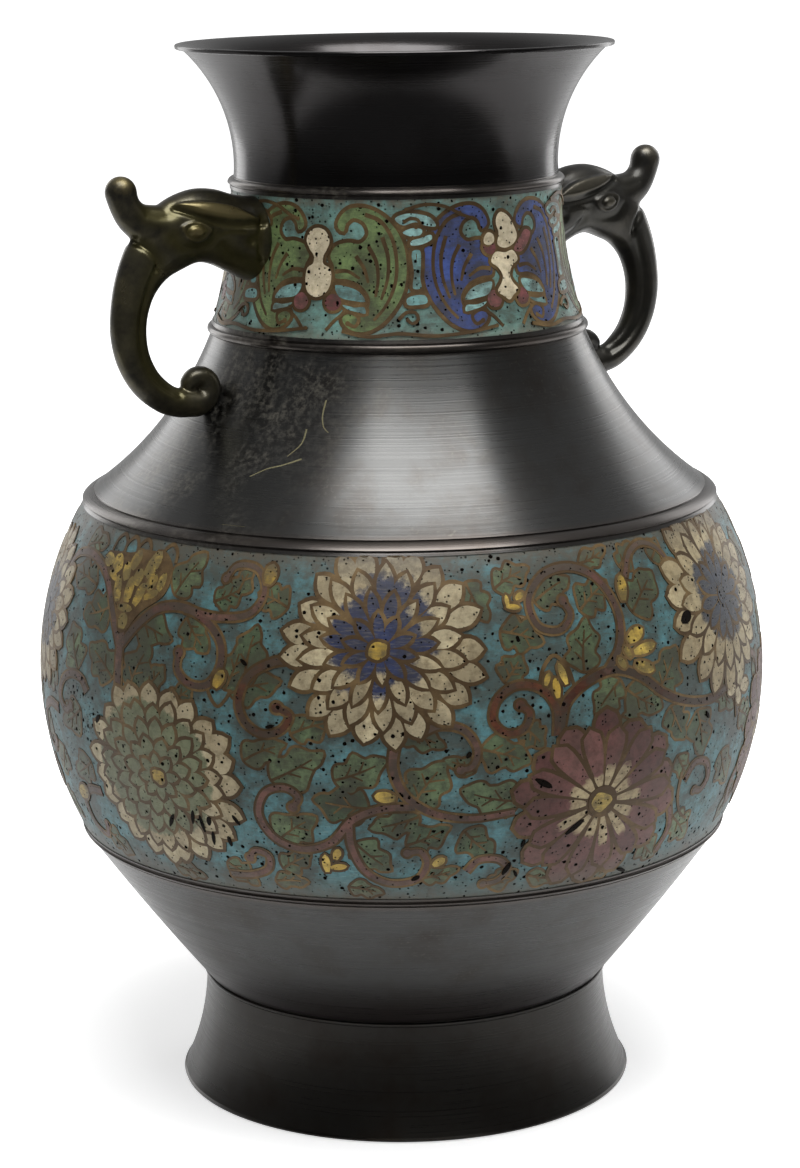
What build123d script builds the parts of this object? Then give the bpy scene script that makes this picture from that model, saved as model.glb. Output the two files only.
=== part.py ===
from build123d import *
import math
import os

# Cast bronze vase with two bands of champleve enamel and a pair of beast-head handles.
# Origin at the centre of the foot's resting plane, +Z up the axis, handles along +X and -X.
# Lengths in millimetres, angles in degrees. An azimuth of 0 faces -Y, and +X is at 90.

# How tall each stretch is, from the foot up: they add up to the vase's height
foot_height = 34.0
taper_height = 47.4
belly_height = 97.2
shoulder_height = 48.2
neck_height = 45.4
mouth_height = 37.8

# Outer radii, from the lip down: each stretch of the outline is an arc through three of them,
# the middle one at half its height or lifted a little above it
lip_radius = 63.4
mouth_top_radius = 61.4
mouth_middle_radius = 49.8
throat_radius = 47.2
neck_top_radius = 48.4
neck_middle_radius = 49.7
neck_base_radius = 54.6
shoulder_top_radius = 54.8
shoulder_middle_radius = 65.0
shoulder_middle_lift = 3.5
shoulder_base_radius = 90.2
belly_top_radius = 93.2
belly_radius = 107.6
belly_base_radius = 96.3
taper_top_radius = 95.2
taper_middle_radius = 80.9
taper_middle_lift = 3.0
waist_radius = 60.8
foot_top_radius = 60.4
foot_middle_radius = 62.3
foot_radius = 68.0

# Walls, and the laps where one casting's spigot goes into the next one's bore
wall = 3.5
mouth_wall = 2.4
lip_thickness = 1.4
lip_bevel = 0.4
lap_length = 4.0
lap_step = 1.2
lap_wall = 1.6
braze_gap = 0.05

# The hidden inner walls are turned with straight sides: how many each stretch has
mouth_wall_sides = 4
neck_wall_sides = 3
shoulder_wall_sides = 2
belly_wall_sides = 4
taper_wall_sides = 2
foot_wall_sides = 2

# Ring mouldings: how tall each is, and how far it stands proud
neck_ring_height = 2.4
neck_ring_proud = 0.9
collar_ring_height = 2.8
collar_ring_proud = 1.1
belly_ring_height = 2.8
belly_ring_proud = 1.0
base_ring_height = 1.8
base_ring_proud = 0.6
foot_ring_height = 1.8
foot_ring_proud = 0.7
ring_bevel = 0.25  # share of a ring's height that each of its bevelled edges takes

# Enamel, ground flush with the bronze
enamel_depth = 1.2
field_margin = 1.0
neck_floor_sides = 3
belly_floor_sides = 6

# Base plate, let into the foot from below up to a ledge
plate_thickness = 2.0
plate_recess = 5.0
plate_gap = 0.05
ledge_width = 3.0
ledge_height = 2.5
foot_rim_width = 5.0

# How tall a handle is, from its tail to its horn's knob. The tables below are in hundredths of it.
# A centre is (distance out from the neck's wall, rise above the neck's joint).
handle_height = 69.0
# Sections of the head and loop, from the seat to the tail: centre, lean, half height, half width
loop_sections = [
    ((-7.1, 42.6), 0, 18.0, 15.4),
    ((1.6, 42.9), 0, 17.4, 14.8),
    ((10.3, 45.8), 6, 15.9, 12.9),
    ((19.0, 49.3), 4, 15.1, 11.9),
    ((27.7, 49.4), -6, 14.8, 11.3),
    ((37.9, 45.5), -22, 14.1, 10.1),
    ((47.4, 37.4), -45, 11.3, 8.8),
    ((53.5, 27.8), -62, 9.1, 7.7),
    ((56.7, 17.7), -76, 8.0, 7.1),
    ((57.6, 7.5), -92, 7.5, 6.8),
    ((55.6, -3.2), -108, 7.1, 6.5),
    ((50.0, -12.9), -131, 6.7, 6.4),
    ((41.6, -20.0), -152, 6.2, 6.2),
    ((34.4, -22.6), -170, 5.9, 5.9),
]
# The curl that ends the tail: centre, then its turn radius and thickness at the start and end
curl_centre = (26.7, -16.8)
curl_turns = (6.2, 4.2)
curl_radii = (5.8, 3.9)
curl_sweep = 215.0
curl_steps = 5

# The horn, from inside the head out to its knob: centre, lean, half height, half width
horn_sections = [
    ((36.4, 47.5), 12, 10.4, 9.6),
    ((47.7, 51.0), 24, 9.0, 8.1),
    ((55.6, 55.7), 50, 6.8, 6.5),
]
knob_centre = (59.6, 64.8)
knob_lean = 80
knob_radius = 6.5

# The slices that a handle is lofted through, and where its rounded ends start and stop
slice_sides = 16
end_steps = 4
end_angle = 78.0
tail_end_start = 25.0
knob_start = -40.0

# Rivets, one through the wall into each head and one into each tail: heights above the neck's joint
head_rivet_rise = 29.7
tail_rivet_rise = -13.2
rivet_radius = 2.0
rivet_depth = 7.0
rivet_gap = 0.05
rivet_head_radius = 4.0
rivet_head_height = 1.8
bore_run_in = 7.0
pad_radius = 7.5


class WallCurve:
    """The arc of one stretch of the outer face, through three (radius, height) points."""

    def __init__(self, top, middle, bottom):
        (r1, z1), (r2, z2), (r3, z3) = top, middle, bottom
        d = 2 * (r1 * (z2 - z3) + r2 * (z3 - z1) + r3 * (z1 - z2))
        s1, s2, s3 = r1 * r1 + z1 * z1, r2 * r2 + z2 * z2, r3 * r3 + z3 * z3
        self.centre_r = (s1 * (z2 - z3) + s2 * (z3 - z1) + s3 * (z1 - z2)) / d
        self.centre_z = (s1 * (r3 - r2) + s2 * (r1 - r3) + s3 * (r2 - r1)) / d
        self.size = math.hypot(r1 - self.centre_r, z1 - self.centre_z)
        self.side = 1 if r2 > self.centre_r else -1

    def radius(self, z, inset=0.0):
        """Radius at a height, of the face itself or of one set in from it."""
        size = self.size - self.side * inset
        return self.centre_r + self.side * math.sqrt(size**2 - (z - self.centre_z) ** 2)

    def edge(self, z1, z2, inset=0.0):
        """The face between two heights, as an arc in the XZ plane."""
        return ThreePointArc(*self.chords(z1, z2, inset, 2))

    def chords(self, z1, z2, inset, count):
        """Points on a face set in from this one, for a hidden wall with straight sides."""
        heights = [z1 + (z2 - z1) * i / count for i in range(count + 1)]
        return [point(self.radius(z, inset), z) for z in heights]

    def outward(self, z):
        """The outward direction at a height, in the XZ plane."""
        across = Vector(self.radius(z) - self.centre_r, 0, z - self.centre_z)
        return (across * self.side).normalized()


def point(r, z):
    return Vector(r, 0, z)


def ring(bottom, top, proud):
    """Corners of a moulding with bevelled edges, from one outline point up to another."""
    out = Vector(proud, 0, 0)
    rise = (top - bottom) * ring_bevel
    return [bottom, bottom + rise + out, top - rise + out, top]


def lathe(*pieces):
    """Turns an outline about the axis. Lines join the ends of its edges and its corner points."""
    edges = [piece for piece in pieces if not isinstance(piece, Vector)]
    ends = [(p, p) if isinstance(p, Vector) else (p @ 0, p @ 1) for p in pieces]
    for (start, end), (next_start, next_end) in zip(ends, ends[1:] + ends[:1]):
        if (next_start - end).length > 1e-6:
            edges.append(Line(end, next_start))
    return revolve(make_face(edges), Axis.Z)


def tongue(joint_r, joint_z, way):
    """Corners of a spigot, from beside the casting's outer face to the end of its bore."""
    outer = joint_r - lap_step
    end = joint_z + way * lap_length
    return [point(outer, joint_z), point(outer, end), point(outer - lap_wall, end)]


def seat(joint_r, joint_z, way):
    """Corners of the counterbore that a spigot goes into, from its mouth to its end."""
    bore_r = joint_r - lap_step + braze_gap
    return [point(bore_r, joint_z), point(bore_r, joint_z + way * lap_length)]


# Heights of the castings' joints and of the belly's ends, up the axis
foot_joint_z = foot_height
belly_base_z = foot_joint_z + taper_height
belly_top_z = belly_base_z + belly_height
neck_joint_z = belly_top_z + shoulder_height
mouth_joint_z = neck_joint_z + neck_height
height = mouth_joint_z + mouth_height

# The outer faces, each an arc, between the ring mouldings
neck_top_z = mouth_joint_z - neck_ring_height
neck_base_z = neck_joint_z + collar_ring_height
shoulder_base_z = belly_top_z + belly_ring_height
taper_top_z = belly_base_z - base_ring_height
foot_top_z = foot_joint_z - foot_ring_height
mouth_top_z = height - lip_thickness
mouth_curve = WallCurve(
    (mouth_top_radius, mouth_top_z),
    (mouth_middle_radius, (mouth_joint_z + height) / 2),
    (throat_radius, mouth_joint_z),
)
neck_curve = WallCurve(
    (neck_top_radius, neck_top_z),
    (neck_middle_radius, (neck_top_z + neck_base_z) / 2),
    (neck_base_radius, neck_base_z),
)
shoulder_curve = WallCurve(
    (shoulder_top_radius, neck_joint_z),
    (shoulder_middle_radius, (neck_joint_z + shoulder_base_z) / 2 + shoulder_middle_lift),
    (shoulder_base_radius, shoulder_base_z),
)
belly_curve = WallCurve(
    (belly_top_radius, belly_top_z),
    (belly_radius, (belly_top_z + belly_base_z) / 2),
    (belly_base_radius, belly_base_z),
)
taper_curve = WallCurve(
    (taper_top_radius, taper_top_z),
    (taper_middle_radius, (taper_top_z + foot_joint_z) / 2 + taper_middle_lift),
    (waist_radius, foot_joint_z),
)
foot_curve = WallCurve(
    (foot_top_radius, foot_top_z), (foot_middle_radius, foot_top_z / 2), (foot_radius, 0)
)
neck_field = (neck_base_z + field_margin, neck_top_z - field_margin)
belly_field = (belly_base_z + field_margin, belly_top_z - field_margin)
neck_floor = neck_curve.chords(*neck_field, enamel_depth, neck_floor_sides)
belly_floor = belly_curve.chords(*belly_field, enamel_depth, belly_floor_sides)

# Where the handles start: the neck's wall behind the head
handle_wall_r = neck_curve.radius(neck_joint_z + head_rivet_rise)


def make_mouth():
    """The flared mouth: a thin bevelled lip above, and a spigot below that goes into the neck."""
    inner_wall = mouth_curve.chords(height, mouth_joint_z, mouth_wall, mouth_wall_sides)
    return lathe(
        mouth_curve.edge(mouth_joint_z, mouth_top_z),
        point(lip_radius - lip_bevel, mouth_top_z),
        point(lip_radius, mouth_top_z + lip_bevel),
        point(lip_radius, height - lip_bevel),
        point(lip_radius - lip_bevel, height),
        *inner_wall,
        *reversed(tongue(throat_radius, mouth_joint_z, -1)),
    )


def make_neck():
    """The neck band: a ring at each end, and between them the sunk field for its enamel."""
    wall_top_z = mouth_joint_z - lap_length
    inner_wall = neck_curve.chords(wall_top_z, neck_joint_z, wall, neck_wall_sides)
    return lathe(
        *ring(
            point(shoulder_top_radius, neck_joint_z),
            point(neck_base_radius, neck_base_z),
            collar_ring_proud,
        ),
        neck_curve.edge(neck_base_z, neck_field[0]),
        *neck_floor,
        neck_curve.edge(neck_field[1], neck_top_z),
        *ring(
            point(neck_top_radius, neck_top_z),
            point(neck_top_radius, mouth_joint_z),
            neck_ring_proud,
        ),
        *seat(throat_radius, mouth_joint_z, -1),
        *inner_wall,
        *reversed(tongue(shoulder_top_radius, neck_joint_z, -1)),
    )


def make_body():
    """The body: the plain shoulder, the belly's sunk field, and the taper down to the foot."""
    wall_top_z = neck_joint_z - lap_length
    wall_base_z = foot_joint_z + lap_length
    shoulder_wall = shoulder_curve.chords(wall_top_z, shoulder_base_z, wall, shoulder_wall_sides)
    belly_wall = belly_curve.chords(belly_top_z, belly_base_z, wall, belly_wall_sides)
    taper_wall = taper_curve.chords(taper_top_z, wall_base_z, wall, taper_wall_sides)
    return lathe(
        taper_curve.edge(foot_joint_z, taper_top_z),
        *ring(
            point(taper_top_radius, taper_top_z),
            point(belly_base_radius, belly_base_z),
            base_ring_proud,
        ),
        belly_curve.edge(belly_base_z, belly_field[0]),
        *belly_floor,
        belly_curve.edge(belly_field[1], belly_top_z),
        *ring(
            point(belly_top_radius, belly_top_z),
            point(shoulder_base_radius, shoulder_base_z),
            belly_ring_proud,
        ),
        shoulder_curve.edge(shoulder_base_z, neck_joint_z),
        *seat(shoulder_top_radius, neck_joint_z, -1),
        *shoulder_wall,
        *belly_wall,
        *taper_wall,
        *reversed(seat(foot_top_radius, foot_joint_z, 1)),
    )


def make_foot():
    """The flared foot: a spigot above, and inside it the ledge that the base plate seats on."""
    plate_top = plate_recess + plate_thickness
    ledge_top = plate_top + ledge_height
    seat_r = foot_radius - foot_rim_width
    inner_wall = foot_curve.chords(ledge_top, foot_top_z, wall, foot_wall_sides)
    return lathe(
        foot_curve.edge(0, foot_top_z),
        *ring(
            point(foot_top_radius, foot_top_z),
            point(foot_top_radius, foot_joint_z),
            foot_ring_proud,
        ),
        *tongue(foot_top_radius, foot_joint_z, 1),
        *reversed(inner_wall),
        point(seat_r - ledge_width, ledge_top),
        point(seat_r - ledge_width, plate_top),
        point(seat_r, plate_top),
        point(seat_r, 0),
    )


def make_base_plate():
    radius = foot_radius - foot_rim_width - plate_gap
    return Pos(0, 0, plate_recess + plate_thickness / 2) * Cylinder(radius, plate_thickness)


def slice_of(place, lean, half_height, half_width):
    """A many-sided slice of a handle, square to a direction that leans up from level."""
    unit = handle_height / 100
    origin = point(handle_wall_r + place[0] * unit, neck_joint_z + place[1] * unit)
    angle = math.radians(lean)
    plane = Plane(origin, x_dir=(0, 1, 0), z_dir=(math.cos(angle), 0, math.sin(angle)))
    corners = []
    for side in range(slice_sides):
        turn = 2 * math.pi * (side + 0.5) / slice_sides
        across, up = half_width * math.cos(turn), half_height * math.sin(turn)
        corners.append((across * unit, up * unit))
    return plane * make_face(Polyline(*corners, close=True))


def rounded_end(place, lean, radius, start):
    """Slices that round a bar off to a ball, from an angle before or after its widest slice."""
    x, rise = place
    out = math.radians(lean)
    slices = []
    for step in range(end_steps + 1):
        angle = math.radians(start + (end_angle - start) * step / end_steps)
        along = radius * math.sin(angle)
        size = radius * math.cos(angle)
        middle = (x + along * math.cos(out), rise + along * math.sin(out))
        slices.append((middle, lean, size, size))
    return slices


def curl_slices():
    """The tail's curl: a spiral that tightens and thins as it turns in and over."""
    slices = []
    for step in range(curl_steps + 1):
        share = step / curl_steps
        turned = curl_sweep * share
        turn = curl_turns[0] + (curl_turns[1] - curl_turns[0]) * share
        thickness = curl_radii[0] + (curl_radii[1] - curl_radii[0]) * share
        angle = math.radians(turned)
        x = curl_centre[0] - turn * math.sin(angle)
        rise = curl_centre[1] - turn * math.cos(angle)
        slices.append(((x, rise), -180 - turned, thickness, thickness))
    return slices


def vase_core():
    """The filled outer form behind the handles, which their seats are cut to."""
    return lathe(
        shoulder_curve.edge(shoulder_base_z, neck_joint_z),
        neck_curve.edge(neck_base_z, neck_top_z),
        *ring(
            point(neck_top_radius, neck_top_z),
            point(neck_top_radius, mouth_joint_z),
            neck_ring_proud,
        ),
        mouth_curve.edge(mouth_joint_z, mouth_top_z),
        point(0, mouth_top_z),
        point(0, shoulder_base_z),
    )


def rivet_seats():
    """Planes on the outer face where the rivets come out through the wall, on the +X side."""
    seats = []
    for curve, rise in ((neck_curve, head_rivet_rise), (shoulder_curve, tail_rivet_rise)):
        z = neck_joint_z + rise
        seats.append(Plane(point(curve.radius(z), z), z_dir=curve.outward(z)))
    return seats


def bar(seat, radius, start, end):
    """A round bar square to the wall, between two distances out from the wall's outer face."""
    from_start = (Align.CENTER, Align.CENTER, Align.MIN)
    return seat * Pos(0, 0, start) * Cylinder(radius, end - start, align=from_start)


def rivet_bores():
    """The holes for the rivets on the +X side, from inside the wall on into the handle."""
    bore_radius = rivet_radius + rivet_gap
    return [bar(seat, bore_radius, -wall - bore_run_in, rivet_depth) for seat in rivet_seats()]


def make_handle():
    """One handle: head and loop with a curled tail, and a horn, cut to seat on the vase."""
    curl = curl_slices()
    tip_place, tip_lean, tip_radius, _ = curl[-1]
    loop = loop_sections + curl + rounded_end(tip_place, tip_lean, tip_radius, tail_end_start)
    horn = horn_sections + rounded_end(knob_centre, knob_lean, knob_radius, knob_start)
    solid = loft([slice_of(*s) for s in loop], ruled=True)
    solid += loft([slice_of(*s) for s in horn], ruled=True)
    return solid - vase_core() - rivet_bores()


def make_rivets(casting):
    """The rivets of one handle: heads on the inside wall, shanks through it into the handle."""
    rivets = []
    for seat in rivet_seats():
        shank = bar(seat, rivet_radius, -wall, rivet_depth)
        head = bar(seat, rivet_head_radius, -wall - rivet_head_height, -wall / 2)
        rivets.append((head - casting) + shank)
    return rivets


def on_both_sides(shapes):
    """Shapes made on the +X side, with a copy of each turned round to the -X side."""
    return [Rot(0, 0, turn) * shape for turn in (0, 180) for shape in shapes]


neck_pads = on_both_sides([bar(rivet_seats()[0], pad_radius, -wall, wall)])
bores = on_both_sides(rivet_bores())
neck_ring_field = lathe(neck_curve.edge(*neck_field), *reversed(neck_floor))
neck_ground = neck_ring_field - neck_pads
neck = make_neck() + [neck_ring_field & pad for pad in neck_pads] - bores
body = make_body() - bores
right_handle = make_handle()
rivets = on_both_sides(make_rivets(make_neck() + make_body()))

made = {
    "mouth": make_mouth(),
    "neck": neck,
    "body": body,
    "foot": make_foot(),
    "base_plate": make_base_plate(),
    "right_handle": right_handle,
    "left_handle": Rot(0, 0, 180) * right_handle,
    "handle_rivets": Compound(children=[rivet.solid() for rivet in rivets]),
    "neck_ground": neck_ground,
    "belly_ground": lathe(belly_curve.edge(*belly_field), *reversed(belly_floor)),
}
os.makedirs("parts", exist_ok=True)
for name, shape in made.items():
    export_step(shape, f"parts/{name}.step")
    print(name, len(shape.solids()), round(shape.volume), shape.is_valid)
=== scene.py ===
import math
import random

import bmesh
import bpy
import numpy as np
from mathutils import Matrix, Vector


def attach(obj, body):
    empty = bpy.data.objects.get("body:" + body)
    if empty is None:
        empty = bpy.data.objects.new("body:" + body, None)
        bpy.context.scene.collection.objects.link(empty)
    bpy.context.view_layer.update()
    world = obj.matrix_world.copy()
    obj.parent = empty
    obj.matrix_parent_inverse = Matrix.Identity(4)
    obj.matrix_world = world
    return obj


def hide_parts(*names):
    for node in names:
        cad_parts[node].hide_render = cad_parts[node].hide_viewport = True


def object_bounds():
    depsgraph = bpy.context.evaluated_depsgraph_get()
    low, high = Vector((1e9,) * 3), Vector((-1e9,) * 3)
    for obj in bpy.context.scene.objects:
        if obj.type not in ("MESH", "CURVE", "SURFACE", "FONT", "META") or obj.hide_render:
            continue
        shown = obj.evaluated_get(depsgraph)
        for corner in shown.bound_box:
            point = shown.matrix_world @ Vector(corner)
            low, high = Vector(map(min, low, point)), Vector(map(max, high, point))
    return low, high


# Cast bronze vase with two bands of champleve enamel and a pair of beast-head handles.
# Values in the dictionaries are millimetres and degrees, unless a note says otherwise.
mm = 0.001
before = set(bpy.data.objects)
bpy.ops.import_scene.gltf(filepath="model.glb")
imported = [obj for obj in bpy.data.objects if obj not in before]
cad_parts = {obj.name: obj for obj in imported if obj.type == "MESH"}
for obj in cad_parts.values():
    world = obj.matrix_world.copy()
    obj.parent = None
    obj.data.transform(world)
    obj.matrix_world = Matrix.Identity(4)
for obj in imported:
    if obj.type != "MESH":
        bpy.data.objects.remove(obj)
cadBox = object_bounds()
print("stage: frame loaded,", len(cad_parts), "solid pieces")

# Where the camera stands, which the drawing on the bands is also turned to
studio = {
    "floorWhite": 0.58, "floorReflectionGlow": 0.16, "roomLight": 0.34, "roomDark": 0.07,
    "cameraAzimuth": -32.0, "cameraDistance": 929.6, "cameraHeight": 349.85,
    "pitch": 12.134, "yaw": -0.0105, "roll": -0.637, "lens": 98.11,
}

# The outer face, stretch by stretch: each is an arc through three (radius, height) points
wallArcs = {
    "foot": ((68.0, 0.0), (62.3, 16.1), (60.4, 32.2)),
    "taper": ((60.8, 34.0), (80.9, 59.8), (95.2, 79.6)),
    "belly": ((96.3, 81.4), (107.6, 130.0), (93.2, 178.6)),
    "shoulder": ((90.2, 181.4), (65.0, 207.6), (54.8, 226.8)),
    "neck": ((54.6, 229.6), (49.7, 249.7), (48.4, 269.8)),
    "mouth": ((47.2, 272.2), (49.8, 291.1), (61.4, 308.6)),
}


# Centre, size and side of the circle that an arc lies on
def arcCircle(arc):
    (r1, z1), (r2, z2), (r3, z3) = arc
    d = 2 * (r1 * (z2 - z3) + r2 * (z3 - z1) + r3 * (z1 - z2))
    s1, s2, s3 = r1 * r1 + z1 * z1, r2 * r2 + z2 * z2, r3 * r3 + z3 * z3
    cr = (s1 * (z2 - z3) + s2 * (z3 - z1) + s3 * (z1 - z2)) / d
    cz = (s1 * (r3 - r2) + s2 * (r1 - r3) + s3 * (r2 - r1)) / d
    return cr, cz, math.hypot(r1 - cr, z1 - cz), 1 if r2 > cr else -1


circles = {name: arcCircle(arc) for name, arc in wallArcs.items()}


# Radius of the outer face at a height, or of a face set in from it
def arcRadius(name, z, inset=0.0):
    cr, cz, size, side = circles[name]
    size -= side * inset
    return cr + side * math.sqrt(max(size * size - (z - cz) ** 2, 0.0))


# Points up or down one stretch, for a lathe outline
def arcPoints(name, z1, z2, inset=0.0, step=2.0):
    count = max(2, round(abs(z2 - z1) / step))
    heights = [z1 + (z2 - z1) * i / count for i in range(count + 1)]
    return [(arcRadius(name, z, inset), z) for z in heights]


# Deselects everything and makes one object active
def pick(piece):
    bpy.ops.object.select_all(action="DESELECT")
    piece.select_set(True)
    bpy.context.view_layer.objects.active = piece


# A new object in the scene
def newObject(name, data):
    piece = bpy.data.objects.new(name, data)
    bpy.context.scene.collection.objects.link(piece)
    return piece


# Adds a modifier to the active piece and applies it
def applyModifier(piece, kind, **settings):
    modifier = piece.modifiers.new(kind.lower(), kind)
    for name, value in settings.items():
        setattr(modifier, name, value)
    bpy.ops.object.modifier_apply(modifier=modifier.name)


# Stores one share for each point of a mesh, for a material to read
def storeShares(mesh, name, shares):
    mesh.attributes.new(name, "FLOAT", "POINT").data.foreach_set("value", shares)


# Fixes a finished piece to the body and hides the solids that it stands for
def enrol(piece, slotName, *nodes):
    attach(piece, "root")
    if nodes:
        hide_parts(*nodes)
    return piece


# sRGB hex to the linear values that a shader socket takes
def linearColor(hexCode):
    channels = [int(hexCode[i:i + 2], 16) / 255 for i in (1, 3, 5)]
    return [c / 12.92 if c <= 0.04045 else ((c + 0.055) / 1.055) ** 2.4 for c in channels] + [1.0]


# Adds one node and gives one of its outputs, or the node itself if that is None. Each input is a
# value or a link: the first ones come in their order, and the others by name or number.
def addNode(tree, kind, *inputs, output=0, others={}, **settings):
    node = tree.nodes.new("ShaderNode" + kind)
    for name, value in settings.items():
        setattr(node, name, value)
    for name, value in [*enumerate(inputs), *others.items()]:
        if isinstance(value, bpy.types.NodeSocket):
            tree.links.new(value, node.inputs[name])
        else:
            node.inputs[name].default_value = value
    return node if output is None else node.outputs[output]


# A new material without a shader, and the object coordinates that its patterns read
def newMaterial(name):
    material = bpy.data.materials.new(name)
    material.use_nodes = True
    material.node_tree.nodes.clear()
    return material, material.node_tree, addNode(material.node_tree, "TexCoord", output="Object")


# Gives a material its shader, once its patterns are made
def finishMaterial(material, values):
    shader = addNode(material.node_tree, "BsdfPrincipled", others=values)
    addNode(material.node_tree, "OutputMaterial", shader, output=None)
    return material


# Lays colours over a first one, each by a share and mixed in unless another way is given
def layColors(tree, first, layers):
    color = linearColor(first)
    for share, hexCode, *way in layers:
        color = addNode(tree, "Mix", output=2, others={0: share, 6: color, 7: linearColor(hexCode)},
                        data_type="RGBA", blend_type=way[0] if way else "MIX")
    return color


# Patinated bronze: cast copper alloy, turned, browned and waxed, which gives a near-black brown
# under a clear grey sheen, with fine turning lines round the axis and faint clouds in the patina.
# Each pair of places is where an effect starts and where it is full.
bronzeValues = {
    "patina": "#494948", "cloud": "#3e3a36", "fleck": "#68675f", "rubbed": "#59504a", "dirtAndShade": "#241c1a",
    "dust": "#5d5a50", "cloudMm": 16.0, "fleckMm": 1.1, "grainMm": 0.35, "dustMm": 1.8, "streakMm": 0.4, "lines": 1.0,
    "roughness": (0.25, 0.36), "metal": 1.0, "brushed": 0.75, "wax": 0.3, "waxRoughness": 0.26,
    "rubbedHighlightRings": (80.5, 180.0, 228.2, 271.0), "ringReach": (2.6, 1.0), "footHollow": (52, 38),
    "dustAcross": (56, 30), "dustHeight": (150, 185),
}
plain = {"rubbedHighlightRings": ()}  # for metal with no rubbed rings with their painted highlight, no dirt and painted shade in the hollow, and no dust


def bronzeMaterial(name, **changes):
    values = dict(bronzeValues, **changes)
    material, tree, place = newMaterial(name)
    # turning lines: a noise squeezed flat along the axis
    flat = addNode(tree, "Mapping", place, others={"Scale": (4.0, 4.0, 1000 / values["streakMm"])})
    lines = addNode(tree, "TexNoise", flat, others={"Scale": 1.0, "Detail": 3.0, "Roughness": 0.5})
    noises = (("cloudMm", 6.0, 0.6), ("fleckMm", 3.0, 0.5), ("grainMm", 2.0, 0.5), ("dustMm", 4.0, 0.7))
    clouds, flecks, grain, specks = (
        addNode(tree, "TexNoise", place, others={"Scale": 1000 / values[size], "Detail": detail, "Roughness": rough})
        for size, detail, rough in noises)
    cloudy = addNode(tree, "MapRange", clouds, 0.46, 0.76)
    # pale flecks where the patina is worn, gathered in the clouds
    flecks = addNode(tree, "MapRange", flecks, 0.58, 0.72, 0.0, 0.5)
    flecks = addNode(tree, "Math", flecks, cloudy, operation="MULTIPLY")
    layers, metal = [(cloudy, values["cloud"]), (flecks, values["fleck"])], values["metal"]
    if values["rubbedHighlightRings"]:
        spot = addNode(tree, "SeparateXYZ", place, output=None)
        across, height = spot.outputs["Y"], spot.outputs["Z"]
        # wax and dirt in the hollow above the foot, and painted shade there too: the taper darkens toward the foot
        hollow = addNode(tree, "MapRange", height, *(z * mm for z in values["footHollow"]), 0.0, 0.9)
        # the rings are rubbed paler: partly wear, partly a painted highlight standing in for the broad highlight on
        # their round
        near = 1.0
        for z in values["rubbedHighlightRings"]:
            away = addNode(tree, "Math", height, z * mm, operation="SUBTRACT")
            away = addNode(tree, "Math", away, operation="ABSOLUTE")
            near = addNode(tree, "Math", away, near, operation="MINIMUM")
        near = addNode(tree, "MapRange", near, *(reach * mm for reach in values["ringReach"]), 0.0, 0.55)
        # dust lies behind the handles, where a cloth doesn't reach
        dust = addNode(tree, "Math", across, operation="ABSOLUTE")
        dust = addNode(tree, "MapRange", dust, *(y * mm for y in values["dustAcross"]))
        above = addNode(tree, "MapRange", height, *(z * mm for z in values["dustHeight"]))
        patch = addNode(tree, "MapRange", clouds, 0.4, 0.62, 0.0, 0.8)
        for share in (above, patch, addNode(tree, "MapRange", specks, 0.44, 0.66)):
            dust = addNode(tree, "Math", dust, share, operation="MULTIPLY")
        layers += [(hollow, values["dirtAndShade"]), (near, values["rubbed"]), (dust, values["dust"])]
        metal = addNode(tree, "MapRange", dust, others={"To Min": metal, "To Max": 0.1})
    rough = addNode(tree, "Math", lines, 0.7, operation="MULTIPLY")
    rough = addNode(tree, "Math", clouds, 0.3, rough, operation="MULTIPLY_ADD")
    turned = addNode(tree, "Bump", others={"Strength": 0.4 * values["lines"], "Distance": 0.1 * mm, "Height": lines})
    cast = addNode(tree, "Bump", others={"Strength": 0.12, "Distance": 0.05 * mm, "Height": grain, "Normal": turned})
    return finishMaterial(material, {
        "Base Color": layColors(tree, values["patina"], layers), "Metallic": metal,
        "Roughness": addNode(tree, "MapRange", rough, 0.35, 0.65, *values["roughness"]),
        "Anisotropic": values["brushed"], "Anisotropic Rotation": 0.25,  # the grooves spread light up and down
        "Tangent": addNode(tree, "Tangent", direction_type="RADIAL", axis="Z"),
        "Coat Weight": values["wax"], "Coat Roughness": values["waxRoughness"],
        "Normal": cast, "Coat Normal": turned})


bronze = bronzeMaterial("waxedBrownBronze")
footBronze = bronzeMaterial("darkBrownBronze", **plain, patina="#2c2a27", cloud="#231d17", fleck="#231d17", lines=0.5)
mouthBronze = bronzeMaterial("polishedBrownBronze", **plain, patina="#343232", cloud="#2b2827", fleck="#2b2827",
                             roughness=(0.2, 0.3), waxRoughness=0.16, lines=0.4, brushed=0.3)

# Champleve enamel: opaque glass fired in the cells, ground flush and left matt, so it has a soft
# sheen, a mottled body, fine grinding lines round the axis, and black pits where bubbles broke.
# Pits and the finer dust of them: spacing, how they gather, chance from and to, smallest and largest.
enamelValues = {
    "pits": (2.1, 1.2, (1.1, 1.45), (0.03, 0.27)), "pitDust": (1.0, 0.8, (0.92, 1.3), (0.0, 0.34)), "pit": "#0d0a08",
    "mottleMm": 2.4, "grindMm": 0.5, "clumpMm": 28.0, "grimeMm": 10.0, "grimeAndShade": "#38342a", "grimeAndShadeShare": 0.78,
    "shadeRise": (95, 150), "roughness": (0.34, 0.55), "refraction": 1.52,
}
bellyWorn = (82, 90), (171, 179), "#524a3e"  # heights between which the ends fade to this colour
neckWorn = (229, 234), (266, 271), "#6a6355"


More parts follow.
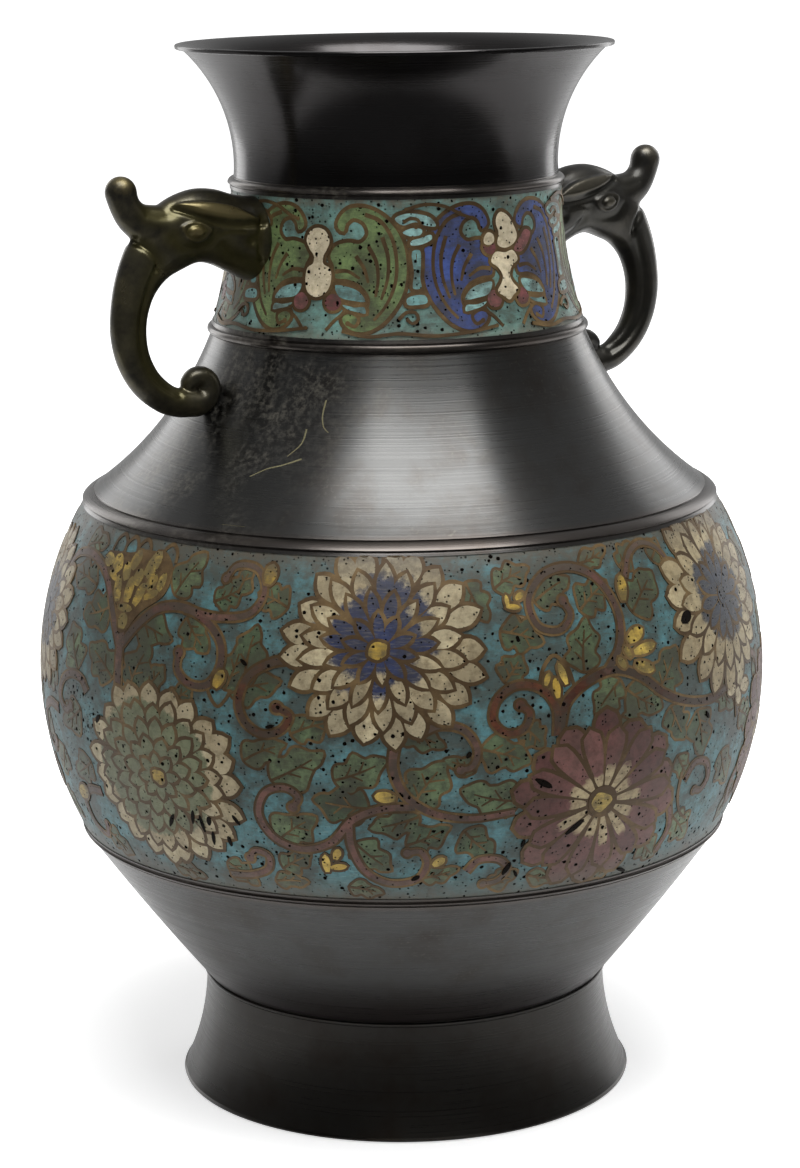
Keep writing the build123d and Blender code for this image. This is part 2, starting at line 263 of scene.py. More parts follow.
# base, deep and pale are the colour, its darker mottles and its ground streaks. worn is where a
# band's ends fade to bare metal, and heart is a second enamel that was laid in the same cells and
# ran into the first
def enamelMaterial(name, base, deep, pale, worn=None, heart=None, dirtAndShade=1.0):
    values = enamelValues
    material, tree, place = newMaterial(name)
    flat = addNode(tree, "Mapping", place, others={"Scale": (260.0, 260.0, 1000 / values["grindMm"])})
    grind = addNode(tree, "TexNoise", flat, others={"Scale": 1.0, "Detail": 4.0, "Roughness": 0.7})
    mottle, grimeAndShade, clump = (
        addNode(tree, "TexNoise", place, others={"Scale": 1000 / values[size], "Detail": detail, "Roughness": rough})
        for size, detail, rough in (("mottleMm", 5.0, 0.7), ("grimeMm", 7.0, 0.62), ("clumpMm", 2.0, 0.5)))
    layers = [(addNode(tree, "Attribute", output="Fac", attribute_name="tone"), pale)]
    if heart:
        bleed = addNode(tree, "Attribute", output="Fac", attribute_name="bleed")
        ragged = addNode(tree, "Math", mottle, 1.3, -0.9, operation="MULTIPLY_ADD")
        ragged = addNode(tree, "Math", grind, 0.5, ragged, operation="MULTIPLY_ADD")
        ran = addNode(tree, "Math", bleed, ragged, operation="ADD")
        layers.append((addNode(tree, "MapRange", ran, 0.34, 0.66), heart))
    # over two colours the deep one is multiplied in, so that it darkens both
    layers.append((addNode(tree, "MapRange", mottle, 0.42, 0.66, 0.0, 0.75), deep, "MULTIPLY" if heart else "MIX"))
    layers.append((addNode(tree, "MapRange", grind, 0.52, 0.74, 0.0, 0.25 if heart else 0.5), pale))
    streaky = addNode(tree, "Math", grind, 0.3, -0.15, operation="MULTIPLY_ADD")
    grimeAndShade = addNode(tree, "Math", grimeAndShade, streaky, operation="ADD")
    height = addNode(tree, "SeparateXYZ", place, output="Z")
    if worn == bellyWorn:
        # painted shade: the grime colour's share rises toward the shoulder, so the upper belly is darker, as the
        # light falls there
        rise = addNode(tree, "MapRange", height, *(z * mm for z in values["shadeRise"]), -0.03, 0.06)
        grimeAndShade = addNode(tree, "Math", grimeAndShade, rise, operation="ADD")
    # grime, and on the belly painted shade as well, laid in one colour
    layers.append((addNode(tree, "MapRange", grimeAndShade, 0.4, 0.6, 0.0, values["grimeAndShadeShare"] * dirtAndShade), values["grimeAndShade"]))
    if worn:
        # the ends of a band are ground thin, down to the dull grey of the metal
        low, high, dull = worn
        edge = addNode(tree, "Math", mottle, 0.012, -0.006, operation="MULTIPLY_ADD")
        edge = addNode(tree, "Math", height, edge, operation="ADD")
        below = addNode(tree, "MapRange", edge, low[1] * mm, low[0] * mm)
        above = addNode(tree, "MapRange", edge, high[0] * mm, high[1] * mm)
        ends = addNode(tree, "Math", below, above, operation="MAXIMUM")
        layers.append((addNode(tree, "Math", ends, 0.86, operation="MULTIPLY"), dull))
    holes = []
    for gather, (spacing, weight, chances, sizes) in ((clump, values["pits"]), (mottle, values["pitDust"])):
        cells = addNode(tree, "TexVoronoi", place, output=None, others={"Scale": 1000 / spacing})
        chance = addNode(tree, "SeparateColor", cells.outputs["Color"])
        chance = addNode(tree, "Math", gather, weight, chance, operation="MULTIPLY_ADD")
        size = addNode(tree, "MapRange", chance, *chances, *sizes)
        holes.append(addNode(tree, "Math", size, cells.outputs["Distance"], operation="SUBTRACT"))
    broken = addNode(tree, "Math", mottle, 0.28, holes[0], operation="MULTIPLY_ADD")
    broken = addNode(tree, "Math", grind, 0.3, broken, operation="MULTIPLY_ADD")
    pit = addNode(tree, "Math", addNode(tree, "MapRange", broken, 0.28, 0.33),
                  addNode(tree, "MapRange", holes[1], 0.0, 0.08, 0.0, 0.85), operation="MAXIMUM")
    layers.append((pit, values["pit"]))
    worked = addNode(tree, "Bump", others={"Strength": 0.35, "Distance": 0.12 * mm, "Height": grind})
    pitted = addNode(tree, "Bump", others={"Strength": 0.9, "Distance": 0.5 * mm, "Height": pit, "Normal": worked},
                     invert=True)
    return finishMaterial(material, {
        "Base Color": layColors(tree, base, layers), "IOR": values["refraction"],
        "Roughness": addNode(tree, "MapRange", mottle, 0.0, 1.0, *values["roughness"]),
        "Specular IOR Level": addNode(tree, "MapRange", pit, 0.0, 1.0, 0.5 if dirtAndShade else 0.05, 0.0), "Normal": pitted})


print("stage: materials")

# Lathe work: the outline is drawn as a chain of vertices, closed, and spun about the axis
latheSteps = 256


def turnPiece(name, outline, material):
    bpy.ops.object.select_all(action="DESELECT")
    bpy.ops.mesh.primitive_plane_add(size=mm)
    piece = bpy.context.object
    piece.name = piece.data.name = name
    bpy.ops.object.mode_set(mode="EDIT")
    bpy.ops.mesh.select_all(action="SELECT")
    bpy.ops.mesh.merge(type="CENTER")
    r, z = outline[0]
    bpy.ops.transform.translate(value=(r * mm, 0, z * mm))
    for (r1, z1), (r2, z2) in zip(outline, outline[1:]):
        bpy.ops.mesh.extrude_region_move(
            TRANSFORM_OT_translate={"value": ((r2 - r1) * mm, 0, (z2 - z1) * mm)})
    chain = bmesh.from_edit_mesh(piece.data)
    chain.verts.ensure_lookup_table()
    if outline[0][0] > 0.001 and outline[-1][0] > 0.001:
        for v in chain.verts:
            v.select = v.index in (0, len(chain.verts) - 1)
        bpy.ops.mesh.edge_face_add()
    bpy.ops.mesh.select_all(action="SELECT")
    bpy.ops.mesh.spin(steps=latheSteps, angle=math.tau, center=(0, 0, 0), axis=(0, 0, 1))
    bpy.ops.mesh.select_all(action="SELECT")
    bpy.ops.mesh.remove_doubles(threshold=0.01 * mm)
    bpy.ops.mesh.normals_make_consistent(inside=False)
    bpy.ops.object.mode_set(mode="OBJECT")
    bpy.ops.object.shade_smooth_by_angle(angle=math.radians(28))
    piece.data.materials.clear()
    piece.data.materials.append(material)
    return piece


# A ring moulding between two outline points: a groove, a round bead, and a groove again
def beadPoints(bottom, top, proud, groove=0.35):
    (r1, z1), (r2, z2) = bottom, top
    points = [(r1 - groove, z1 + 0.12), (r1 - groove, z1 + 0.35)]
    for i in range(7):
        angle = math.pi * (i / 6) * 0.94 + 0.03 * math.pi
        share = (1 - math.cos(angle)) / 2
        low, high = z1 + 0.4, z2 - 0.4
        points.append((r1 + (r2 - r1) * share + proud * math.sin(angle) ** 0.6, low + (high - low) * share))
    return points + [(r2 - groove, z2 - 0.35), (r2 - groove, z2 - 0.12)]


castings = {
    "wall": 3.5, "mouthWall": 2.4, "lipRadius": 63.4, "lipTop": 310.0, "enamelDepth": 1.2, "fieldMargin": 1.0,
    "mouthJoint": 272.2,
    "rings": {"neck": 0.9, "collar": 1.1, "belly": 1.0, "base": 0.6, "foot": 0.7},
}
wall, margin, depth = castings["wall"], castings["fieldMargin"], castings["enamelDepth"]
rings, mouthJoint = castings["rings"], castings["mouthJoint"]

# mouth: down the inside, and up the outside to a rounded lip
lip, top = castings["lipRadius"], castings["lipTop"]
mouthOutline = arcPoints("mouth", mouthJoint, 308.6) + [
    (lip - 0.45, 308.62), (lip - 0.12, 308.8), (lip, 309.2), (lip - 0.02, 309.6), (lip - 0.2, 309.88),
    (lip - 0.6, top), (lip - 1.4, 309.9), (lip - 2.4, 309.4),
] + arcPoints("mouth", 308.0, mouthJoint, castings["mouthWall"])
enrol(turnPiece("mouthCasting", mouthOutline, mouthBronze), "bronze", "mouth")

# neck: a bead at each end, and the sunk field for its enamel
neckLow, neckHigh = 229.6 + margin, 269.8 - margin
neckOutline = (
    [(arcRadius("shoulder", 226.8), 226.8)] + beadPoints((54.8, 226.8), (54.6, 229.6), rings["collar"], 0.22)
    + arcPoints("neck", 229.6, neckLow) + arcPoints("neck", neckLow, neckHigh, depth)
    + arcPoints("neck", neckHigh, 269.8) + beadPoints((48.4, 269.8), (47.6, 272.2), rings["neck"], 0.22)
    + [(47.2, 272.2), (44.0, 272.2)] + arcPoints("neck", 270.0, 226.8, wall)
)
enrol(turnPiece("neckCasting", neckOutline, bronze), "bronze", "neck")

# body: taper, bead, the belly's sunk field, bead and shoulder
bellyLow, bellyHigh = 81.4 + margin, 178.6 - margin
bodyOutline = (
    arcPoints("taper", 34.0, 79.6) + beadPoints((95.2, 79.6), (96.3, 81.4), rings["base"], 0.1)
    + arcPoints("belly", 81.4, bellyLow) + arcPoints("belly", bellyLow, bellyHigh, depth)
    + arcPoints("belly", bellyHigh, 178.6) + beadPoints((93.2, 178.6), (90.2, 181.4), rings["belly"], 0.18)
    + arcPoints("shoulder", 181.4, 226.8) + arcPoints("shoulder", 226.8, 181.4, wall)
    + arcPoints("belly", 178.6, 81.4, wall) + arcPoints("taper", 79.6, 34.0, wall)
)
enrol(turnPiece("bodyCasting", bodyOutline, bronze), "bronze", "body")

# foot: flared, with a bead at its top, an inner ledge, and a flat rim to stand on
footOutline = (
    [(67.2, 0.0), (67.8, 0.25), (68.0, 0.8)] + arcPoints("foot", 1.2, 32.2)
    + beadPoints((60.4, 32.2), (60.6, 34.0), rings["foot"], 0.1) + [(60.6, 34.0), (57.0, 34.0)]
    + arcPoints("foot", 32.2, 9.5, wall) + [(60.0, 9.5), (60.0, 7.0), (63.0, 7.0), (63.0, 0.3), (63.3, 0.0)]
)
enrol(turnPiece("footCasting", footOutline, footBronze), "bronze", "foot")

# base plate: a turned disc with a rounded edge, let into the foot
plateOutline = [(0.0, 5.0), (30.0, 5.0), (61.6, 5.0), (62.4, 5.2), (62.9, 5.7), (62.9, 6.9), (0.0, 7.0)]
enrol(turnPiece("basePlateDisc", plateOutline, bronze), "bronze", "base_plate")
print("stage: castings turned")

# Grounds: the enamel that fills each band between the drawn cells
groundLift = -0.25
turquoise = enamelMaterial("turquoiseEnamel", "#4b787e", "#384942", "#86a8a7", bellyWorn)
neckTurquoise = enamelMaterial("paleTurquoiseEnamel", "#6a938c", "#556a5b", "#9bbdb4", neckWorn)
grounds = (("bellyGround", "belly", bellyLow, bellyHigh, turquoise, "belly_ground"),
           ("neckGround", "neck", neckLow, neckHigh, neckTurquoise, "neck_ground"))
for name, band, low, high, enamel, node in grounds:
    outline = arcPoints(band, low, high, -groundLift) + arcPoints(band, high, low, depth)
    enrol(turnPiece(name, outline, enamel), "turquoise_enamel", node)
print("stage: grounds turned")

# The drawing: each band is drawn flat, as if unrolled, with u along the band and z up, and the
# finished sheets are then wrapped on the wall. u is in hundredths of a radian on the belly and
# fiftieths on the neck, so that it is near a millimetre there.
drawing = {"line": 1.1, "cellStep": 3.0, "handShake": 0.06}
lifts = {
    "leafLine": -0.16, "leaf": -0.11, "vein": -0.07, "vineLine": -0.04, "vine": 0.01, "onEdge": 0.018,
    "flowerLine": 0.04, "petal": 0.06, "row": 0.035, "heartLine": 0.13, "eye": 0.24, "scar": 0.26,
}
hand = random.Random(11)


# An empty sheet: points of (u, z, lift), faces, and for each point its tone and how far the
# cell's second enamel has run there
def newSheet():
    return {"points": [], "faces": [], "tones": [], "bleeds": []}


# Twice the signed area of an outline
def signedArea(outline):
    return sum(a[0] * b[1] - b[0] * a[1] for a, b in zip(outline, outline[1:] + outline[:1]))


# Points moved to a place, and turned over about it if the side is -1
def placed(points, centre, side=1):
    return [(centre[0] + side * u, centre[1] + z) for u, z in points]


# Adds one filled outline
def addCell(sheet, outline, lift, tone=None, bleed=None):
    if signedArea(outline) < 0:
        outline = outline[::-1]
    first = len(sheet["points"])
    tone = hand.random() if tone is None else tone
    sheet["points"] += [(u, z, lift) for u, z in outline]
    sheet["tones"] += [tone] * len(outline)
    sheet["bleeds"] += [bleed(u, z) if bleed else 0.0 for u, z in outline]
    sheet["faces"].append(list(range(first, first + len(outline))))


# An outline moved outward by a distance
def grown(outline, by):
    if signedArea(outline) < 0:
        outline = outline[::-1]
    moved = []
    for a, b, c in zip(outline[-1:] + outline[:-1], outline, outline[1:] + outline[:1]):
        along = Vector((c[0] - a[0], c[1] - a[1]))
        if along.length < 1e-6:
            continue
        along.normalize()
        moved.append((b[0] + along.y * by, b[1] - along.x * by))
    return moved


# A cell with a bronze edge round it
def addEdged(sheets, name, outline, lift, edge=1.1, tone=None, bleed=None):
    addCell(sheets["cloisons"], grown(outline, edge), lift, 0.5)
    addCell(sheets[name], outline, lift + lifts["onEdge"], tone, bleed)


# A smooth curve through points
def smoothPath(points, closed=False, step=0.8):
    points = [Vector(p) for p in points]
    if closed:
        around = [points[-1]] + points + points[:2]
    else:
        around = [points[0] * 2 - points[1]] + points + [points[-1] * 2 - points[-2]]
    path = []
    for a, b, c, d in zip(around, around[1:], around[2:], around[3:]):
        t0, t1 = 0.0, max((b - a).length, 1e-6) ** 0.5
        t2 = t1 + max((c - b).length, 1e-6) ** 0.5
        t3 = t2 + max((d - c).length, 1e-6) ** 0.5
        count = max(2, round((c - b).length / step))
        for i in range(count):
            t = t1 + (t2 - t1) * i / count
            a1 = a * ((t1 - t) / (t1 - t0)) + b * ((t - t0) / (t1 - t0))
            a2 = b * ((t2 - t) / (t2 - t1)) + c * ((t - t1) / (t2 - t1))
            a3 = c * ((t3 - t) / (t3 - t2)) + d * ((t - t2) / (t3 - t2))
            b1 = a1 * ((t2 - t) / (t2 - t0)) + a2 * ((t - t0) / (t2 - t0))
            b2 = a2 * ((t3 - t) / (t3 - t1)) + a3 * ((t - t1) / (t3 - t1))
            path.append(b1 * ((t2 - t) / (t2 - t1)) + b2 * ((t - t1) / (t2 - t1)))
    if not closed:
        path.append(points[-1])
    return [tuple(p) for p in path]


# Adds a band of changing width along a path, with a rounded far end if the tip is wanted
def addRibbon(sheet, path, startWidth, endWidth, lift, tone=None, tip=0.0):
    tone = hand.random() if tone is None else tone
    first, count = len(sheet["points"]), len(path)
    for i, p in enumerate(path):
        before, after = path[max(i - 1, 0)], path[min(i + 1, count - 1)]
        along = (Vector(after) - Vector(before)).normalized()
        across = Vector((-along.y, along.x))
        share = i / (count - 1)
        half = (startWidth + (endWidth - startWidth) * share) / 2
        for side in (-1, 1):
            sheet["points"].append((p[0] + across.x * half * side, p[1] + across.y * half * side, lift))
            sheet["tones"].append(tone)
            sheet["bleeds"].append(0.0)
        if i:
            k = first + 2 * i
            sheet["faces"].append([k - 2, k, k + 1, k - 1])
    if tip:
        end = path[-1]
        turns = [math.tau * i / 14 for i in range(14)]
        circle = [(end[0] + tip * math.cos(turn), end[1] + tip * math.sin(turn)) for turn in turns]
        addCell(sheet, circle, lift + 0.004, tone)


# A petal's outline about a flower's centre, from an inner radius to an outer one
def petalOutline(centre, angle, inner, outer, width, base=0.35, point=0.25, widest=0.62):
    left, right = [], []
    for i in range(9):
        t = i / 8
        if t < widest:
            size = base + (1 - base) * math.sin(t / widest * math.pi / 2)
        else:
            size = math.cos((t - widest) / (1 - widest) * math.pi / 2) ** (0.5 + point)
        r = inner + (outer - inner) * t
        for side, row in ((1, left), (-1, right)):
            half = width / 2 * size * side
            row.append((centre[0] + r * math.cos(angle) - half * math.sin(angle),
                        centre[1] + r * math.sin(angle) + half * math.cos(angle)))
    return right[:-1] + left[::-1]


# One row of overlapping petals round a flower, each a little different, as cut by hand
def petalRow(sheets, name, centre, count, inner, outer, width, lift, turn=0.0, bleed=None, **shape):
    for i in range(count):
        angle = math.tau * (i + turn) / count + hand.uniform(-0.05, 0.05)
        reach = outer * (1 + hand.uniform(-drawing["handShake"], drawing["handShake"]))
        ran = hand.uniform(-1.0, 1.0)
        broad = width * (1 + hand.uniform(-0.08, 0.08))
        outline = petalOutline(centre, angle, inner, reach, broad, **shape)
        share = (lambda u, z: bleed(u, z, ran)) if bleed else None
        addEdged(sheets, name, outline, lift + 0.003 * (i % 3), bleed=share)


# A single cell, pointed at both ends
def addSeed(sheets, name, centre, angle, length, width, lift=None, edge=0.6, **shape):
    a = math.radians(angle)
    start = (centre[0] - math.cos(a) * length / 2, centre[1] - math.sin(a) * length / 2)
    outline = petalOutline(start, a, 0.0, length, width, **{"base": 0.25, "point": 0.1, "widest": 0.5, **shape})
    addEdged(sheets, name, outline, lifts["petal"] if lift is None else lift, edge)


# A lobed leaf from its base to its tip: bronze edge, green cell, and bronze veins
def addLeaf(sheets, base, tip, width):
    base, tip, width = Vector(base), Vector(tip), width * 0.9
    along = tip - base
    length = along.length
    along.normalize()
    across = Vector((-along.y, along.x))
    hook = hand.choice((-1, 1)) * hand.uniform(0.08, 0.2) * length

    def place(t, offset):
        return tuple(base + along * (length * t) + across * (offset + hook * (t * t - 0.6 * t)))

    sides = []
    for side in (1, -1):
        lobes, phase = hand.choice((1.5, 2.0, 2.5)), hand.uniform(0.2, 0.6)
        row = []
        for i in range(1, 12):
            t = i / 12
            size = math.sin(math.pi * t ** 0.72) ** 0.74
            lobe = 1 + 0.25 * math.cos(math.tau * (t * lobes - phase)) + hand.uniform(-0.07, 0.07)
            row.append(place(t, side * width / 2 * size * lobe))
        sides.append(row)
    rough = [place(0, 0)] + sides[0] + [place(1.03, 0)] + sides[1][::-1]
    outline = smoothPath(rough, closed=True, step=1.0)
    addEdged(sheets, "green", outline, lifts["leafLine"], 0.78)
    veins = [[place(t, 0) for t in (0.0, 0.3, 0.6, 0.8)]]
    for t, side in ((0.2, 1), (0.3, -1), (0.46, 1), (0.55, -1)):
        if hand.random() < 0.7:
            veins.append([place(t, 0), place(t + 0.1, side * width * 0.15), place(t + 0.17, side * width * 0.27)])
    for i, vein in enumerate(veins):
        addRibbon(sheets["cloisons"], smoothPath(vein), 0.8 if i == 0 else 0.6, 0.4, lifts["vein"], 0.45)


# A vine: a bronze ribbon with a narrower enamel one on it, ending in a round curl if wanted
def addVine(sheets, points, width=3.0, endWidth=1.6, curl=True, cell="vines"):
    path = smoothPath(points)
    line, core, endCore = drawing["line"], width * 0.68, endWidth * 0.74
    addRibbon(sheets["cloisons"], path, core + 1.35 * line, endCore + 1.2 * line, lifts["vineLine"], 0.55,
              tip=(endCore * 0.85 + line * 0.7) if curl else 0.0)
    addRibbon(sheets[cell], path, core, endCore, lifts["vine"], tip=endCore * 0.85 if curl else 0.0)


# A thin bronze line alone
def addLine(sheets, points, width=1.0, endWidth=0.8, tip=0.0):
    addRibbon(sheets["cloisons"], smoothPath(points), width, endWidth, lifts["vein"], 0.5, tip=tip)


bellySheets = {name: newSheet() for name in (
    "cloisons", "green", "vines", "rust", "cream", "sage", "mauve", "blue", "slate", "yellow", "scars")}


# A wavy circle
def roundOutline(centre, radius, count=16, wave=0.05):
    rows = []
    for i in range(count):
        angle = math.tau * i / count
        r = radius * (1 + hand.uniform(-wave, wave))
        rows.append((centre[0] + r * math.cos(angle), centre[1] + r * math.sin(angle)))
    return smoothPath(rows, closed=True, step=0.6)


# How far a flower's heart colour has run at a place: 1 inside a reach about its centre, then 0
def heartBleed(centre, reach, edge=2.5, lean=0.0, leanAngle=90.0, ragged=1.5):
    def bleed(u, z, ran=0.0):
        du, dz = u - centre[0], z - centre[1]
        toward = math.cos(math.atan2(dz, du) - math.radians(leanAngle))
        limit = reach + lean * toward + ragged * ran
        return min(max((limit + edge - math.hypot(du, dz)) / (2 * edge), 0.0), 1.0)
    return bleed


# A flower of petal rows, from the outside in. Each row: petals, inner and outer radius, width, turn
def rowFlower(name, centre, size, rows, bleed, eye, drift, **shape):
    s = bellySheets
    addCell(s["cloisons"], roundOutline(centre, 19.0 * size, 30, 0.02), lifts["flowerLine"], 0.5)
    for k, (count, inner, outer, width, turn) in enumerate(rows):
        share = 1 - k / len(rows)
        middle = (centre[0] + drift[0] * share, centre[1] + drift[1] * share)
        petalRow(s, name, middle, count, inner * size, outer * size, width * size, lifts["petal"] + lifts["row"] * k,
                 turn, bleed, **shape)
    if eye:
        addEdged(s, "yellow", roundOutline(centre, eye, 12, 0.16), lifts["eye"], 0.9)


# Blue-hearted chrysanthemum with cream petals
def blueFlower(centre, size=1.0):
    rows = ((21, 16.5, 26.0, 5.5, 0.0), (18, 10.0, 20.8, 4.7, 0.5), (15, 5.0, 15.5, 3.3, 0.2),
            (10, 1.5, 9.5, 2.7, 0.6))
    rowFlower("blue", centre, size, rows, heartBleed(centre, 13.2 * size, 2.6, 4.2, 100, 3.8), 2.5,
              (1.6, 0.4), base=0.3, point=0.42, widest=0.58)


# Sage chrysanthemum: rows of scale-like petals, the outer one paler
def sageFlower(centre):
    rows = ((23, 17.6, 26.2, 5.9, 0.0), (22, 13.0, 21.4, 4.7, 0.5), (17, 8.4, 16.4, 4.4, 0.2),
            (12, 4.4, 11.6, 4.0, 0.6), (8, 1.2, 7.0, 2.9, 0.1))
    rowFlower("sage", centre, 1.0, rows, heartBleed(centre, 19.4, 1.4, 3.4, 150), 2.2,
              (-0.8, 0.0), base=0.4, point=0.3, widest=0.56)


# Mauve flower: long round-ended petals that run to cream toward its heart, and tips behind them
def mauveFlower(centre):
    s = bellySheets
    addCell(s["cloisons"], roundOutline(centre, 18.0, 30, 0.02), lifts["flowerLine"], 0.5)
    petalRow(s, "mauve", centre, 14, 14.0, 25.2, 7.4, lifts["petal"], 0.5, base=0.5, point=-0.1, widest=0.6)
    for i in range(14):
        angle = math.tau * i / 14 + hand.uniform(-0.06, 0.06)
        outer = 22.4 * (1 + hand.uniform(-0.06, 0.06))
        outline = petalOutline(centre, angle, 4.6, outer, 5.4, base=0.1, point=-0.1, widest=0.78)
        addEdged(s, "mauve", outline, lifts["petal"] + lifts["row"] + 0.003 * (i % 3))
        # the ray is shorter toward the top, where the red has covered it
        reach = 13.4 + hand.uniform(-2.0, 2.6) - 3.4 * max(math.sin(angle - 0.3), 0.0)
        ray = petalOutline(centre, angle, 4.8, reach, 2.9, base=0.42, point=-0.2, widest=0.7)
        addCell(s["mauve"], ray, lifts["heartLine"], 0.6, bleed=heartBleed(centre, reach - 1.6, 2.2))
    addCell(s["cloisons"], roundOutline(centre, 4.4, 14, 0.08), lifts["eye"] - 0.01, 0.5)
    addEdged(s, "yellow", roundOutline(centre, 2.8, 12, 0.18), lifts["eye"], 0.4)


# Cream flower of long petals with a dull blue-grey heart
def slateFlower(centre, size=1.0):
    rows = ((19, 14.5, 26.6, 5.9, 0.0), (17, 8.0, 20.5, 4.6, 0.5), (12, 2.5, 12.0, 3.4, 0.2))
    rowFlower("slate", centre, size, rows, heartBleed(centre, 13.6 * size, 2.4), 0.0,
              (-0.8, 0.0), base=0.3, point=0.2, widest=0.6)
    addCell(bellySheets["slate"], roundOutline(centre, 2.4, 12), lifts["eye"], bleed=heartBleed(centre, 9.0))


# Yellow half-flower that opens upward, drawn cell by cell about its foot
def yellowFan(centre):
    s = bellySheets
    bed = [(-1.4, -1.6), (-5.0, 6.5), (-14.5, 14.0), (-15.0, 17.5), (-9.0, 18.6), (-4.5, 19.0), (0.5, 20.4),
           (6.0, 20.6), (10.0, 20.8), (14.6, 16.5), (14.0, 10.6), (6.0, 4.2), (1.4, -1.6)]
    addCell(s["cloisons"], smoothPath(placed(bed, centre), closed=True), lifts["flowerLine"], 0.5)
    cells = ((0.0, 1.4, 90, 4.0, 3.2), (-0.2, 4.8, 0, 5.6, 1.8), (-5.6, 9.4, 112, 6.6, 2.7),
             (-0.4, 9.8, 90, 6.4, 3.0), (4.4, 9.2, 68, 6.2, 2.7), (9.0, 9.6, 24, 5.0, 1.8),
             (-9.6, 12.2, 160, 4.6, 1.6), (-14.2, 15.8, 165, 4.6, 3.0), (-9.2, 15.6, 130, 4.9, 3.8),
             (-3.8, 14.2, 112, 4.6, 2.9), (2.0, 13.4, 80, 4.2, 3.2), (8.0, 12.8, 60, 4.6, 3.0),
             (-1.2, 17.6, 70, 5.0, 3.3), (6.6, 17.4, 62, 7.2, 3.7), (11.8, 13.4, 75, 4.6, 2.3))
    for u, z, angle, length, width in cells:
        addSeed(s, "yellow", (centre[0] + u, centre[1] + z), angle, length * 1.1, width * 1.2,
                edge=0.5, base=0.6, point=-0.1)
    # empty petals above, where the ground shows between bronze lines
    for u in (-11.5, -5.6, 0.4, 11.6):
        arch = ((-3.2, 18.2), (-2.4, 21.4), (0.0, 23.0), (2.4, 21.4), (3.2, 18.4))
        addLine(s, placed(arch, (centre[0] + u, centre[1])), 1.1, 1.0)


